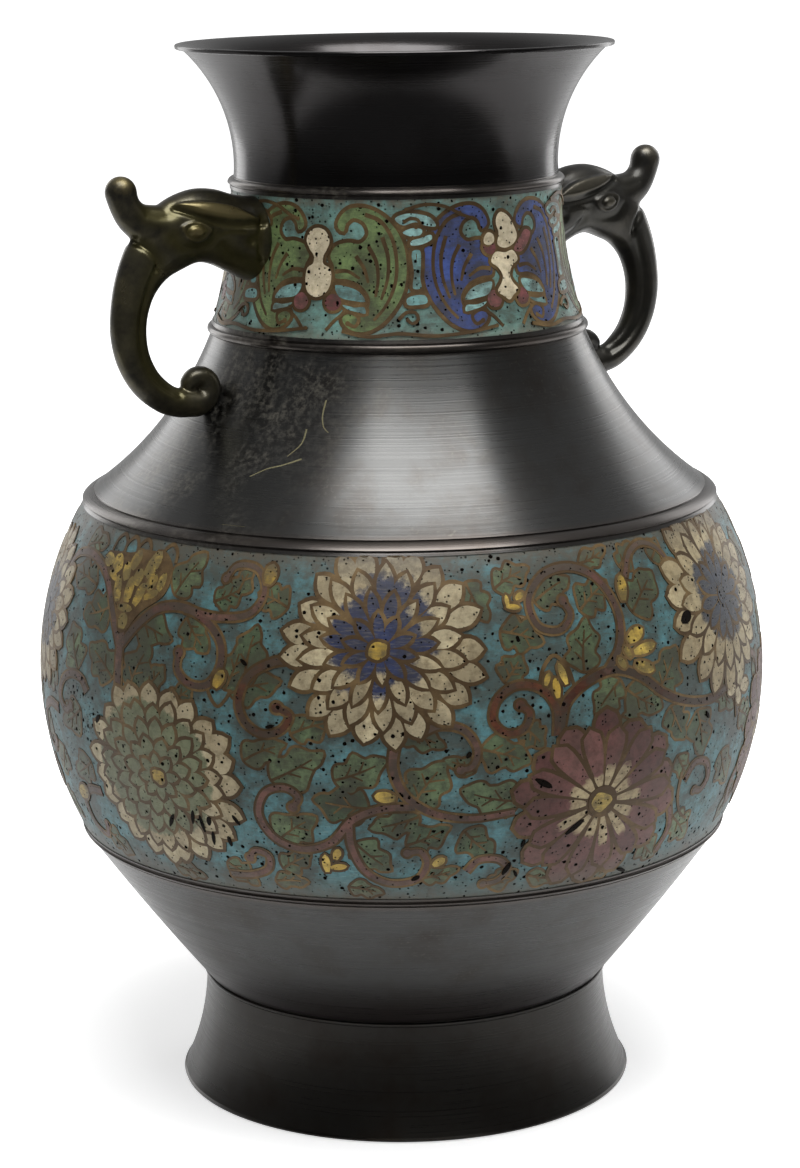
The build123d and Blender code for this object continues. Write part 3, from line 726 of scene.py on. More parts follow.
# The front half of the belly's drawing, which the back repeats
def bellyHalf():
    s = bellySheets
    leaves = (
        (-31, 164.5, -39, 168, 8), (-41, 147, -39.5, 159, 9), (-45, 141, -32, 146, 9), (-28, 131.5, -17, 136, 8),
        (-41, 123, -30.5, 129, 8), (-33.5, 118, -20, 126, 11), (-17, 119, -4, 124, 10), (-9, 111, -22.5, 112.5, 11),
        (-34, 99.5, -23.5, 108.5, 11), (4, 108.5, -8, 104.5, 8), (0, 132.5, 10.5, 129, 7), (2.5, 112, 10, 124, 12),
        (18, 121, 11, 125, 5), (20, 127, 32.5, 123, 10), (30, 111.5, 15, 114.5, 11), (1, 100, 12, 104.5, 8),
        (16, 103.5, 23, 95.5, 9), (-12.5, 100.5, -4, 92, 9), (-33, 91.5, -25.5, 96.5, 7), (31, 132, 36.5, 127, 7),
        (26.5, 158, 37.5, 155, 9), (26.5, 145, 31.5, 151, 8), (18, 170.5, 22.5, 161, 8), (26, 169, 36, 174, 7),
        (5, 89.5, 14.5, 91.5, 5), (-36, 87, -27, 88, 5), (37, 165, 47.5, 170.5, 9), (50, 161.5, 59.5, 168, 9),
        (53, 173, 63, 175.2, 5), (48.5, 145.5, 50, 159, 10), (59, 141.5, 51, 134, 9), (61.5, 138.5, 72, 131, 10),
        (71.5, 136, 80.5, 146.5, 12), (76.5, 131, 81.5, 121, 9), (87.5, 127.5, 91.5, 114.5, 11),
        (67, 159, 77, 168, 12), (66.5, 171, 73, 175.5, 6), (79.5, 171, 84.5, 175, 6), (59.5, 131.5, 66, 127.5, 6),
        (80, 116, 85, 109, 6), (83, 97, 93, 89, 9), (72, 92, 79, 85.5, 7), (-115, 171, -103.5, 174, 8),
        (-101, 162.5, -118, 164.5, 8), (-91, 158, -103, 153, 11), (-85.5, 139.5, -96.5, 147, 11),
        (-103, 138.5, -109.5, 149.5, 12), (-79, 156, -65, 153.5, 10), (-78, 138, -73, 150.5, 11),
        (-72, 139, -66, 145, 7), (-60.5, 159, -53.5, 151, 9), (-66.5, 165, -60, 176, 10),
        (-52.5, 164.5, -44, 168.5, 7), (-46, 167, -43.5, 173.5, 6), (-46.5, 142, -42, 154, 7),
        (-63, 136.5, -56.5, 141, 6), (-101, 127, -112, 120, 10), (-98, 112, -108, 106, 9), (-118, 136, -127, 129, 9),
        (-99, 91, -90, 85.5, 8), (-50, 91, -42, 85.5, 7), (-116, 112, -122, 103, 9), (98, 133, 106, 124, 8),
        (112, 122, 122, 117, 9), (102, 112, 109, 101, 9), (124, 134, 134, 129, 9), (132, 168, 141, 160, 10),
        (138, 145, 147, 137, 10), (150, 166, 156, 174, 8), (120, 98, 113, 89, 9), (-147, 128, -137, 122, 10),
        (-150, 112, -142, 104, 9), (-128, 96, -119, 90, 8), (-127, 119, -134, 112, 9), (35, 88, 44, 85, 5),
        (62, 86, 53, 84.5, 5), (-70, 86.5, -60, 85, 5), (-15, 86.5, -6, 85, 5), (24, 85.5, 31, 90, 6),
    )
    for u1, z1, u2, z2, width in leaves:
        addLeaf(s, (u1, z1), (u2, z2), width)
    addVine(s, [(-84, 156), (-83.5, 148), (-82.5, 136)], 3.8, 3.2, curl=False)
    addVine(s, [(-84, 149), (-90, 158), (-96, 165), (-104, 168.6), (-113, 169.5), (-121, 167), (-124, 161),
                (-120, 157)])
    addVine(s, [(-83, 149), (-78, 155), (-71, 160.5), (-62, 161.8), (-54, 159), (-49, 154), (-48.5, 147.5),
                (-52, 142.5), (-57.5, 142.2), (-61.5, 145.5), (-61.5, 150)], 3.2, 2.2)
    addVine(s, [(-62, 161.5), (-50, 160.5), (-41, 162.5), (-38, 168), (-41, 173.4), (-48, 173.8),
                (-50.5, 170.5)], 2.6, 1.6)
    addVine(s, [(-26, 151.5), (-34, 150), (-40, 146), (-42.5, 139), (-40.5, 133.5), (-35.5, 130.7), (-30.5, 132.5),
                (-28.6, 136.4), (-32, 138.2)], 2.9, 2.2, cell="rust")
    addVine(s, [(-1, 133), (-2.4, 123), (0.5, 115), (7, 109.8), (17, 107.4), (29, 108.4)], 3.2, 1.8, curl=False)
    addVine(s, [(3, 131), (9, 134), (15.5, 132.6), (18.8, 127), (17.5, 122.4), (14.6, 121.6)], 2.6, 1.8)
    addVine(s, [(3, 111.4), (-6, 110.8), (-13, 107.5), (-19, 100.5), (-27, 98), (-34.5, 101), (-38, 108),
                (-35.4, 114.5), (-30, 116), (-26.8, 113.5), (-28.4, 110.5)], 2.8, 2.0)
    addVine(s, [(-14, 107), (-13.5, 99), (-10, 91.5), (-3.5, 88), (4, 89.5), (6.2, 94.5), (4.4, 98),
                (1, 97.6)], 2.6, 1.8)
    addVine(s, [(-50, 87.5), (-43, 88.2), (-37.5, 91), (-37, 95), (-40.6, 96), (-42.6, 93.6)], 2.4, 1.8)
    addVine(s, [(17, 91), (20, 94.4), (26, 94), (28.5, 90.6), (26, 87.4), (22, 86.6)], 2.4, 1.6)
    addVine(s, [(40, 129), (39.8, 137), (35.5, 142.5), (29, 143.6), (24, 140), (23, 134.5), (26.5, 131), (31, 131.8),
                (32.6, 136), (30.2, 138.4)], 2.8, 2.0, cell="rust")
    addVine(s, [(40.5, 130), (43, 138), (50, 143), (58, 144.6), (66, 141.6), (74, 135.5), (83, 131.5), (94, 129.8),
                (104, 131.5), (110, 132)], 3.4, 2.2, curl=False, cell="rust")
    addVine(s, [(55, 144), (60.5, 151), (61.6, 160), (57, 169), (49, 172.6), (40, 171), (35, 165), (37, 158.4),
                (43, 157), (46.6, 160.6), (45, 164.4)], 2.8, 1.9)
    addVine(s, [(101, 131.5), (108, 127), (110, 121)], 2.2, 1.4, curl=False)
    addVine(s, [(84, 108), (88, 112.5), (94, 111), (96, 106), (93.6, 103), (90, 103.6)], 2.0, 1.4)
    addLine(s, [(82.5, 111), (82.5, 104), (85.5, 98), (90, 95)], 1.3, 0.8)
    addVine(s, [(67, 168), (71, 173.4), (77, 175.6), (83, 173.5), (86, 169)], 2.0, 1.4)
    addVine(s, [(112, 134), (120, 137), (127, 134), (128, 128), (123, 125)], 2.4, 1.6)
    addVine(s, [(-97, 133), (-100, 136), (-106, 136.5), (-112, 133.5), (-114, 128), (-110, 125),
                (-106.5, 127)], 2.6, 1.8)
    addVine(s, [(-95, 104), (-102, 103), (-108, 98), (-107, 91), (-101, 89), (-98, 93)], 2.4, 1.6)
    addVine(s, [(-116, 124), (-124, 124), (-131, 120), (-132, 112), (-127, 109), (-123, 112.5)], 2.6, 1.8)
    addVine(s, [(79, 103), (82, 94), (80, 88)], 2.0, 1.4)
    addVine(s, [(128, 100), (120, 104), (115, 99), (118, 93.5), (123, 95)], 2.4, 1.6)
    addVine(s, [(-150, 132), (-146, 122), (-146, 110), (-140, 100), (-133, 97), (-128, 101), (-131, 105)], 2.8, 1.8)
    addLine(s, [(-52, 142), (-50.6, 139), (-48.5, 137), (-46.4, 139), (-44.8, 142)], 1.0, 0.9)
    sageFlower((-68, 114.3))
    slateFlower((107.5, 156.5))
    mauveFlower((54, 108))
    blueFlower((-6, 154.3))
    yellowFan((-84, 154))
    mauveFlower((143, 111))
    slateFlower((-136, 150), 0.86)
    # buds and small petals: place, angle, length and width
    for u, z, angle, length, width in (
        (-37, 172.6, 80, 5.2, 3.8), (-48.4, 144.6, 65, 5.4, 3.0), (-107, 101, 25, 7.5, 4.2),
        (-17.6, 97, 70, 3.6, 2.2), (-20.8, 94, 92, 5.6, 2.3), (-17.4, 93, 8, 4.6, 1.9), (-4.6, 114.4, 172, 5.4, 3.2),
        (9.4, 94.6, 35, 3.8, 2.4), (30.4, 164, -8, 4.0, 1.5), (32.6, 166.6, 30, 2.8, 1.6),
        (28.9, 165.6, 95, 3.2, 1.2), (65, 165.5, 80, 6.8, 3.3), (37.8, 144.6, 72, 3.6, 1.6),
        (40.2, 142, 96, 5.6, 2.1), (42.2, 145.6, 108, 6.2, 1.9), (66, 152.8, 24, 6.4, 3.6),
        (68.6, 148.8, 8, 7.8, 2.9), (67.8, 143.8, -24, 6.8, 3.1), (62.6, 148.8, 118, 3.8, 1.7),
        (60.3, 146.2, 125, 3.6, 2.1),
    ):
        addSeed(s, "yellow", (u, z), angle, length, width, edge=0.75, base=0.45, point=0.0)
    addLine(s, [(35.6, 143), (37.0, 147.6), (40.2, 150.6), (43.8, 147.0), (45.4, 141.4)], 1.1, 1.0)
    for u, z, angle, length, width in (
        (112, 133, 60, 6.6, 4.2), (115, 129, -10, 6.6, 4.2), (110, 126.8, -70, 5.4, 3.4),
        (105.4, 129.6, 180, 5.0, 3.2),
    ):
        addSeed(s, "cream", (u, z), angle, length, width, edge=0.8, base=0.5, point=0.0)
    # scars, where enamel has chipped out of a cell
    for u, z, angle, length, width in (
        (-66, 101.6, 62, 4.6, 1.3), (-58.3, 104, 80, 4.4, 1.1), (-55.6, 102.4, 100, 5.2, 1.1),
        (-53.2, 103.6, 85, 2.8, 1.5), (-52.8, 98.4, 86, 4.2, 1.1), (-44.8, 105, 125, 3.4, 1.0),
        (-47.8, 98.2, 100, 3.2, 1.1), (-91.2, 126.6, 60, 2.8, 1.4), (46.6, 101.6, 38, 6.4, 1.7),
        (36.4, 116, -32, 5.6, 1.8), (16.6, 125.8, 60, 2.0, 1.2), (86.6, 154.2, 22, 5.0, 3.2),
        (28.2, 91, 62, 4.2, 1.4), (3.2, 89.6, 30, 2.6, 1.2), (-33.8, 133, 10, 2.2, 1.0), (92, 125.6, -60, 2.6, 0.9),
        (-41.6, 149.6, -40, 2.4, 1.0), (67, 84, -20, 4.2, 0.9), (31, 89, -60, 2.2, 0.9), (32, 98.6, 70, 2.4, 0.9),
    ):
        a = math.radians(angle)
        start = (u - math.cos(a) * length / 2, z - math.sin(a) * length / 2)
        outline = petalOutline(start, a, 0.0, length, width, base=0.3, point=-0.1, widest=0.5)
        addCell(s["scars"], outline, lifts["scar"])


bellyHalf()


# Makes a sheet a mesh, cuts it fine enough to follow the round wall, wraps it and thickens it.
# Turns are the repeats of the drawing that go in the piece, all of them if none is given.
def layOnWall(name, sheet, band, material, slotName, turns=None):
    mesh = bpy.data.meshes.new(name)
    scale, low, high, times, thickness = bands[band]
    turns = turns or range(times)
    count, half = len(sheet["points"]), math.pi * scale
    points = [(u + half * k, z, lift) for k in turns for u, z, lift in sheet["points"]]
    faces = [[i + count * k for i in face] for k in range(len(turns)) for face in sheet["faces"]]
    mesh.from_pydata(points, [], faces)
    storeShares(mesh, "tone", sheet["tones"] * len(turns))
    storeShares(mesh, "bleed", sheet["bleeds"] * len(turns))
    piece = newObject(name, mesh)
    pick(piece)
    bpy.ops.object.mode_set(mode="EDIT")
    bpy.ops.mesh.select_all(action="SELECT")
    bpy.ops.mesh.quads_convert_to_tris(quad_method="BEAUTY", ngon_method="BEAUTY")
    for _ in range(4):
        drawn = bmesh.from_edit_mesh(mesh)
        bpy.ops.mesh.select_all(action="DESELECT")
        longEdges = [e for e in drawn.edges if e.calc_length() > drawing["cellStep"]]
        if not longEdges:
            break
        for e in longEdges:
            e.select = True
        bmesh.update_edit_mesh(mesh)
        bpy.ops.mesh.subdivide(number_cuts=1)
        bpy.ops.mesh.select_all(action="SELECT")
        bpy.ops.mesh.quads_convert_to_tris(quad_method="BEAUTY", ngon_method="BEAUTY")
    bpy.ops.object.mode_set(mode="OBJECT")
    places = np.zeros(len(mesh.vertices) * 3)
    mesh.vertices.foreach_get("co", places)
    places = places.reshape(-1, 3)
    zs = np.clip(places[:, 1], low, high)
    radii = np.array([arcRadius(band, z) for z in zs]) + places[:, 2]
    angles = places[:, 0] / scale + math.radians(studio["cameraAzimuth"])
    wrapped = np.stack([radii * np.sin(angles), -radii * np.cos(angles), zs], 1) * mm
    mesh.vertices.foreach_set("co", wrapped.ravel())
    mesh.update()
    applyModifier(piece, "SOLIDIFY", thickness=thickness * mm, offset=-1.0)
    bpy.ops.object.shade_smooth_by_angle(angle=math.radians(40))
    mesh.materials.append(material)
    print("stage:", name, len(mesh.polygons), "faces")
    return enrol(piece, slotName)


# Each band: the u of one radian, its lowest and highest z, how often its drawing goes round, and
# the thickness of its pieces
bands = {
    "belly": (100.0, bellyLow, bellyHigh, 2, 0.35), "neck": (50.0, neckLow, neckHigh, 2, 0.35),
    "shoulder": (50.0, 183.0, 225.0, 1, 0.1),
}
cloisonBronze = bronzeMaterial("rubbedCloisonBronze", **plain, patina="#4b3922", cloud="#826a44", fleck="#957f55",
                               cloudMm=14.0, roughness=(0.4, 0.6), metal=0.35, brushed=0.0, wax=0.1)
enamels = {
    "green": enamelMaterial("greenEnamel", "#42523a", "#2a3224", "#647651", bellyWorn),
    "vines": enamelMaterial("plumEnamel", "#57372f", "#3b251f", "#755246", bellyWorn),
    "rust": enamelMaterial("rustEnamel", "#431c0a", "#2c1408", "#613219", bellyWorn),
    "cream": enamelMaterial("creamEnamel", "#9f9070", "#75684d", "#bfb292", dirtAndShade=0.5),
    "sage": enamelMaterial("sageEnamel", "#9a8c6e", "#b9b4a0", "#b5a98a", bellyWorn, heart="#6a7053", dirtAndShade=0.4),
    "mauve": enamelMaterial("mauveEnamel", "#4f2a27", "#a99b92", "#704a44", bellyWorn, heart="#a89976", dirtAndShade=0.4),
    "blue": enamelMaterial("blueEnamel", "#9b8d6e", "#aca397", "#bfb290", bellyWorn, heart="#252f51", dirtAndShade=0.5),
    "slate": enamelMaterial("slateEnamel", "#9c8d6c", "#b4aca0", "#b9ab88", bellyWorn, heart="#434853", dirtAndShade=0.4),
    "yellow": enamelMaterial("yellowEnamel", "#a98a32", "#7b6328", "#cdb155", bellyWorn),
    "scars": enamelMaterial("chippedCell", "#0f0c09", "#0a0806", "#17120d", dirtAndShade=0.0),
}
# the belly's cell walls are the finest mesh, so each half round is a piece of its own
for turn, side in enumerate(("Front", "Back")):
    layOnWall("bellyCloisons" + side, bellySheets["cloisons"], "belly", cloisonBronze, "bronze", (turn,))
for name, enamel in enamels.items():
    layOnWall("belly" + name.capitalize(), bellySheets[name], "belly", enamel, "turquoise_enamel")

print("stage: belly drawn")

neckSheets = {name: newSheet() for name in ("cloisons", "green", "cream", "mauve", "blue", "sky")}
# Half of a bat about its axis: the wing with its hook, the wing's ribs, and the feathers of its tail
batShape = {
    "wing": ((5.4, 261.4), (6.6, 264.4), (9.4, 266.4), (13.4, 266.6), (17.4, 265.2), (21.4, 262.0), (24.4, 257.0),
             (25.4, 250.6), (24.6, 244.4), (22.0, 239.2), (17.8, 234.6), (13.6, 232.8), (9.8, 233.6), (7.8, 236.2),
             (9.4, 238.2), (12.4, 236.6), (14.6, 238.6), (15.2, 241.8), (12.8, 245.2), (8.6, 247.0), (4.9, 247.4),
             (4.6, 250.6), (3.4, 253.2), (4.8, 255.8), (8.6, 257.0), (12.4, 256.8), (14.6, 259.4), (13.4, 262.6),
             (10.2, 263.8), (8.0, 262.2), (7.2, 260.0)),
    "ribs": (((13.6, 264.8), (18.0, 263.0), (21.2, 258.6), (22.6, 252.0), (22.0, 245.4), (19.4, 239.6),
              (16.6, 236.2)),
             ((18.6, 258.6), (20.2, 253.0), (20.0, 247.0), (18.4, 241.8)),
             ((14.6, 256.0), (16.8, 252.0), (17.4, 247.0), (16.8, 242.6)),
             ((11.0, 253.4), (13.4, 250.0), (14.6, 246.4)),
             ((5.0, 249.0), (8.6, 249.2), (12.0, 247.4))),
    "feathers": (((5.2, 245.2), (8.6, 245.0), (12.2, 243.6), (14.0, 241.0), (10.6, 241.2), (6.6, 242.2)),
                 ((7.6, 240.0), (11.0, 239.4), (13.8, 239.4), (14.2, 237.8), (11.6, 238.2), (9.0, 238.9))),
    "scroll": ((3.4, 233.0), (6.2, 236.2), (9.6, 238.0), (12.4, 236.4), (11.4, 234.2), (9.4, 235.0)),
}


# A cell of the neck with its bronze edge, which each have a lift of their own
def addFramed(name, outline, edge, under, over, tone=None):
    addCell(neckSheets["cloisons"], grown(outline, edge), under, 0.6)
    addCell(neckSheets[name], outline, over, tone)


# A bat with its wings spread: a gourd-shaped body, or a head with cheeks, a chest and a tail bead
def addBat(axis, wing, headed):
    cloisons, middle = neckSheets["cloisons"], (axis, 0)
    for side in (1, -1):
        outline = smoothPath(placed(batShape["wing"], middle, side), closed=True)
        addFramed(wing, outline, 1.15, lifts["leafLine"], lifts["leaf"])
        for rib in batShape["ribs"]:
            addRibbon(cloisons, smoothPath(placed(rib, middle, side)), 1.25, 0.8, lifts["vein"], 0.6, tip=0.4)
        for feather in batShape["feathers"]:
            outline = smoothPath(placed(feather, middle, side), closed=True)
            addFramed("sky", outline, 0.95, lifts["vineLine"], lifts["vine"])
        scroll = smoothPath(placed(batShape["scroll"], middle, side))
        addRibbon(cloisons, scroll, 0.9, 1.0, lifts["vein"], 0.6, tip=0.7)
        ball = roundOutline((axis + side * 4.9, 240.6), 2.3, 12)
        addFramed("mauve", ball, 0.9, lifts["vineLine"] + 0.01, lifts["vine"] + 0.01)
    if headed:
        parts = (
            ("cream", ((-2.2, 263.0), (-0.9, 264.3), (1.6, 263.4), (4.0, 260.6), (5.3, 257.2), (3.6, 255.2),
                       (0.2, 254.3), (-2.2, 255.4), (-1.6, 258.6), (-2.4, 261.0))),
            ("cream", ((-6.8, 257.4), (-5.4, 258.9), (-3.6, 258.2), (-3.4, 256.4), (-5.0, 255.4), (-6.8, 256.0))),
            ("mauve", ((-7.2, 255.4), (-5.6, 254.8), (-3.4, 255.8), (-3.0, 254.2), (-4.4, 252.8), (-6.6, 253.6))),
            ("mauve", ((3.8, 253.6), (6.4, 252.8), (9.6, 255.0), (11.2, 257.8), (9.0, 258.8), (6.4, 256.8))),
            ("cream", ((-4.8, 250.8), (-3.2, 253.3), (0.2, 253.0), (3.2, 253.4), (4.8, 250.8), (2.4, 249.2),
                       (1.2, 246.6), (2.0, 244.6), (3.6, 242.6), (1.6, 241.2), (0.0, 240.0), (-1.6, 241.0),
                       (-3.6, 242.6), (-2.0, 244.8), (-1.3, 246.6), (-2.6, 249.0))),
        )
    else:
        parts = (
            ("cream", ((-0.7, 260.9), (-3.2, 259.8), (-4.3, 257.4), (-3.2, 255.0), (-1.8, 253.2), (-1.9, 251.0),
                       (-3.6, 249.8), (-4.0, 246.2), (-3.0, 243.2), (-0.4, 241.9), (2.6, 243.2), (3.9, 246.2),
                       (3.5, 249.8), (1.4, 251.0), (1.3, 253.2), (2.3, 255.0), (3.1, 257.4), (1.8, 260.0))),
        )
    for i, (color, points) in enumerate(parts):
        outline = smoothPath(placed(points, middle), closed=True, step=0.6)
        addFramed(color, outline, 1.05, lifts["flowerLine"] + 0.002 * i, lifts["petal"] + 0.002 * i,
                  0.75 if color == "cream" else None)


# Cloud scrolls and a rod between two bats
def addCloud(axis):
    cells = (
        ((-5.8, 263.6), (-3.0, 264.9), (1.0, 264.8), (4.6, 263.6), (6.0, 261.4), (3.0, 261.6), (0.0, 262.6),
         (-3.6, 261.8)),
        ((-3.6, 259.8), (-0.6, 261.0), (2.0, 260.4), (1.6, 259.2), (-1.6, 258.8)),
        ((-1.4, 256.4), (1.6, 256.4), (4.8, 258.0), (4.6, 259.0), (1.4, 258.2), (-1.2, 257.4)),
        ((-0.9, 254.6), (1.2, 254.8), (1.4, 251.0), (1.1, 247.0), (1.3, 244.6), (-0.9, 244.5), (-0.6, 248.6)),
        ((-2.8, 241.6), (-0.6, 242.6), (2.4, 242.4), (2.8, 240.6), (0.0, 240.0), (-2.6, 240.2)),
    )
    for i, points in enumerate(cells):
        outline = smoothPath(placed(points, (axis, 0)), closed=True, step=0.6)
        addFramed("sky", outline, 1.15, lifts["flowerLine"] + 0.002 * i, lifts["petal"])
    for line in (((-3.4, 262.6), (-1.4, 263.6), (0.8, 263.2), (1.4, 261.8), (0.2, 261.2)),
                 ((-5.0, 236.2), (-3.0, 238.0), (-0.6, 238.0), (0.2, 236.2), (-1.4, 235.0), (-2.6, 236.0)),
                 ((-3.0, 266.0), (3.0, 267.4), (9.0, 266.6), (14.0, 264.2), (17.0, 263.2)),
                 ((-20.0, 233.0), (-13.0, 231.6), (-5.0, 232.4), (4.0, 231.6), (14.0, 232.2), (22.0, 233.4))):
        curve = smoothPath(placed(line, (axis, 0)))
        addRibbon(neckSheets["cloisons"], curve, 1.0, 0.9, lifts["eye"], 0.6, tip=0.55)


for axis, wing, headed in ((-22.7, "green", False), (32.8, "blue", True), (85.5, "green", False)):
    addBat(axis, wing, headed)
for axis in (5.3, 59.4, 110.0):
    addCloud(axis)
neckEnamels = {
    "green": enamelMaterial("batGreenEnamel", "#556b3c", "#3f5030", "#778b59"),
    "cream": enamelMaterial("batCreamEnamel", "#cabc9d", "#9d8f72", "#ded1b3", dirtAndShade=0.4),
    "mauve": enamelMaterial("darkRedEnamel", "#70393c", "#52292b", "#8f5a58"),
    "blue": enamelMaterial("batBlueEnamel", "#334683", "#283259", "#5668a0"),
    "sky": enamelMaterial("skyEnamel", "#6c9f9d", "#5b7671", "#98bfba"),
}
layOnWall("neckCloisons", neckSheets["cloisons"], "neck", cloisonBronze, "bronze")
for name, enamel in neckEnamels.items():
    layOnWall("neck" + name.capitalize(), neckSheets[name], "neck", enamel, "turquoise_enamel")
# Scratches on the shoulder, down to the paler metal
scratches = newSheet()
for line in (((-20.0, 207.0), (-20.3, 203.4), (-22.6, 200.0)),
             ((-19.4, 199.6), (-23.0, 197.8), (-26.0, 196.6), (-29.0, 194.4)),
             ((-16.8, 214.6), (-17.0, 210.6), (-16.2, 207.6), (-15.0, 206.4)), ((-30.0, 182.6), (-25.0, 182.9))):
    addRibbon(scratches, smoothPath(line), 0.4, 0.2, 0.02)
scratched = bronzeMaterial("scratchedBronze", **plain, patina="#7a7558", cloud="#635d43",
                           metal=0.3, brushed=0.0, wax=0.0)
layOnWall("shoulderScratches", scratches, "shoulder", scratched, "bronze")
print("stage: neck drawn")


# Handles: head, loop and curled tail in one sweep, and the horn in another, drawn in the plane
# through the axis as (distance out, height), lean, half height and half width of each section
handleShape = {
    "loop": (
        (47.3, 256.2, 0, 12.3, 10.4), (51.0, 256.6, 1, 11.9, 10.0), (56.0, 258.4, 5, 11.0, 8.9),
        (62.0, 260.6, 3, 10.6, 8.2), (68.0, 260.9, -6, 10.3, 7.8), (75.0, 258.2, -22, 9.7, 7.0),
        (81.6, 252.6, -45, 7.8, 6.1), (85.8, 246.0, -62, 6.3, 5.3), (88.0, 239.0, -76, 5.5, 4.9),
        (88.6, 232.0, -92, 5.2, 4.7), (87.2, 224.6, -108, 4.9, 4.5), (83.4, 217.9, -131, 4.6, 4.4),
        (77.6, 213.0, -152, 4.3, 4.3), (72.6, 211.2, -170, 4.1, 4.1),
    ),
    "curlCentre": (67.3, 215.2), "curlTurns": (4.3, 2.9), "curlRadii": (4.0, 2.7), "curlSweep": 235.0,
    "horn": (
        (71.0, 259.0, 8, 6.6, 6.4), (76.5, 260.6, 14, 6.8, 6.2), (82.0, 262.3, 26, 5.9, 5.5),
        (86.4, 264.9, 48, 4.8, 4.7), (88.8, 268.4, 70, 4.3, 4.3), (89.7, 271.6, 80, 4.55, 4.5),
    ),
    "sides": 36, "voxel": 0.45,
}
# Worked details of a head, on both sides: raised shapes, and grooves with their width and depth
headReliefs = (
    {"outline": ((50.5, 262.3), (57, 266.2), (64, 268.0), (71, 268.4), (75.0, 267.6), (71.5, 265.6), (65, 263.6),
                 (58, 262.4)), "height": 1.15, "edge": 1.3},
    {"outline": ((65.2, 260.6), (68, 262.6), (72, 263.0), (75.0, 261.6), (73.4, 258.6), (70.2, 257.2), (67, 258.2)),
     "height": 0.75, "edge": 0.5},
    {"outline": ((67.6, 260.4), (69.6, 261.9), (72.2, 261.7), (73.2, 260.2), (71.2, 258.6), (68.8, 258.8)),
     "height": 0.8, "edge": 1.1},
)
headGrooves = (
    {"line": ((49.5, 261.4), (58, 261.2), (65, 262.6), (71, 264.9), (75.5, 266.6)), "width": 0.8, "depth": 0.85},
    {"line": ((67.6, 260.4), (69.6, 261.9), (72.2, 261.7), (73.2, 260.2), (71.2, 258.6), (68.8, 258.8),
              (67.6, 260.4)),
     "width": 0.4, "depth": 0.5},
    {"line": ((92.0, 259.5), (88.4, 258.6), (84.6, 256.2), (82.0, 252.9), (81.6, 250.0)), "width": 0.9, "depth": 1.0},
    {"line": ((64, 258.6), (65.5, 256.4), (69, 255.3), (74, 256.0), (77, 258.8)), "width": 1.3, "depth": 0.45},
    {"line": ((50.0, 249.0), (54.0, 250.2), (59.0, 252.6), (62.0, 255.5)), "width": 1.6, "depth": 0.6},
    {"line": ((52.6, 257.3), (53.4, 256.7)), "width": 1.4, "depth": 0.9},
    {"line": ((55.5, 259.2), (60.0, 259.6), (63.0, 259.0)), "width": 0.5, "depth": 0.3},
    {"line": ((76.2, 265.2), (80.0, 264.6), (84.0, 265.6)), "width": 1.2, "depth": 0.3},
    {"line": ((82.4, 250.0), (85.0, 243.0), (86.6, 236.0), (86.6, 229.0), (84.4, 222.4), (79.6, 217.0),
              (74.6, 214.4)),
     "width": 1.2, "depth": 0.8},
    {"line": ((49.8, 262.8), (51.2, 258.6), (51.4, 254.2), (50.2, 250.2)), "width": 0.7, "depth": 0.8},
)


# Fills in a table of sections with a smooth sweep between them
def sweepSections(table, step=1.4):
    rows = [np.array(row, float) for row in table]
    rows = [2 * rows[0] - rows[1]] + rows + [2 * rows[-1] - rows[-2]]
    filled = []
    for a, b, c, d in zip(rows, rows[1:], rows[2:], rows[3:]):
        count = max(2, round(float(np.hypot(*(c - b)[:2])) / step))
        for i in range(count):
            t = i / count
            filled.append(0.5 * (2 * b + (c - a) * t + (2 * a - 5 * b + 4 * c - d) * t * t
                                 + (3 * b - a - 3 * c + d) * t ** 3))
    return filled + [rows[-2]]


# Rounds a sweep off to a ball end
def ballEnd(last):
    x, z, lean, high, wide = last
    out = math.radians(lean)
    rows = []
    for i in range(1, 7):
        angle = math.radians(86 * i / 6)
        along = high * math.sin(angle)
        rows.append(np.array([x + along * math.cos(out), z + along * math.sin(out), lean,
                              high * math.cos(angle), wide * math.cos(angle)]))
    return rows


# A closed skin through elliptical sections
def skinSections(name, sections):
    sides, points, faces = handleShape["sides"], [], []
    for x, z, lean, high, wide in sections:
        out = math.radians(lean)
        for k in range(sides):
            turn = math.tau * k / sides
            rise = high * math.sin(turn)
            points.append(((x - rise * math.sin(out)) * mm, wide * math.cos(turn) * mm,
                           (z + rise * math.cos(out)) * mm))
    for i in range(len(sections) - 1):
        for k in range(sides):
            a, b = i * sides + k, i * sides + (k + 1) % sides
            faces.append((a, b, b + sides, a + sides))
    faces.append(tuple(range(sides - 1, -1, -1)))
    faces.append(tuple(range(len(points) - sides, len(points))))
    mesh = bpy.data.meshes.new(name)
    mesh.from_pydata(points, [], faces)
    return newObject(name, mesh)


# Distance of many points from a line of points
def lineDistance(places, line):
    best = np.full(len(places), 1e9)
    for a, b in zip(line, line[1:]):
        a, b = np.array(a, float), np.array(b, float)
        along = b - a
        t = np.clip(((places - a) @ along) / max(along @ along, 1e-9), 0, 1)
        best = np.minimum(best, np.linalg.norm(places - a - t[:, None] * along, axis=1))
    return best


# Whether each of many points lies in an outline
def insideOutline(places, outline):
    inside = np.zeros(len(places), bool)
    x, z = places[:, 0], places[:, 1]
    for (x1, z1), (x2, z2) in zip(outline, outline[1:] + outline[:1]):
        if z1 == z2:
            continue
        crosses = ((z1 > z) != (z2 > z)) & (x < (x2 - x1) * (z - z1) / (z2 - z1) + x1)
        inside ^= crosses
    return inside


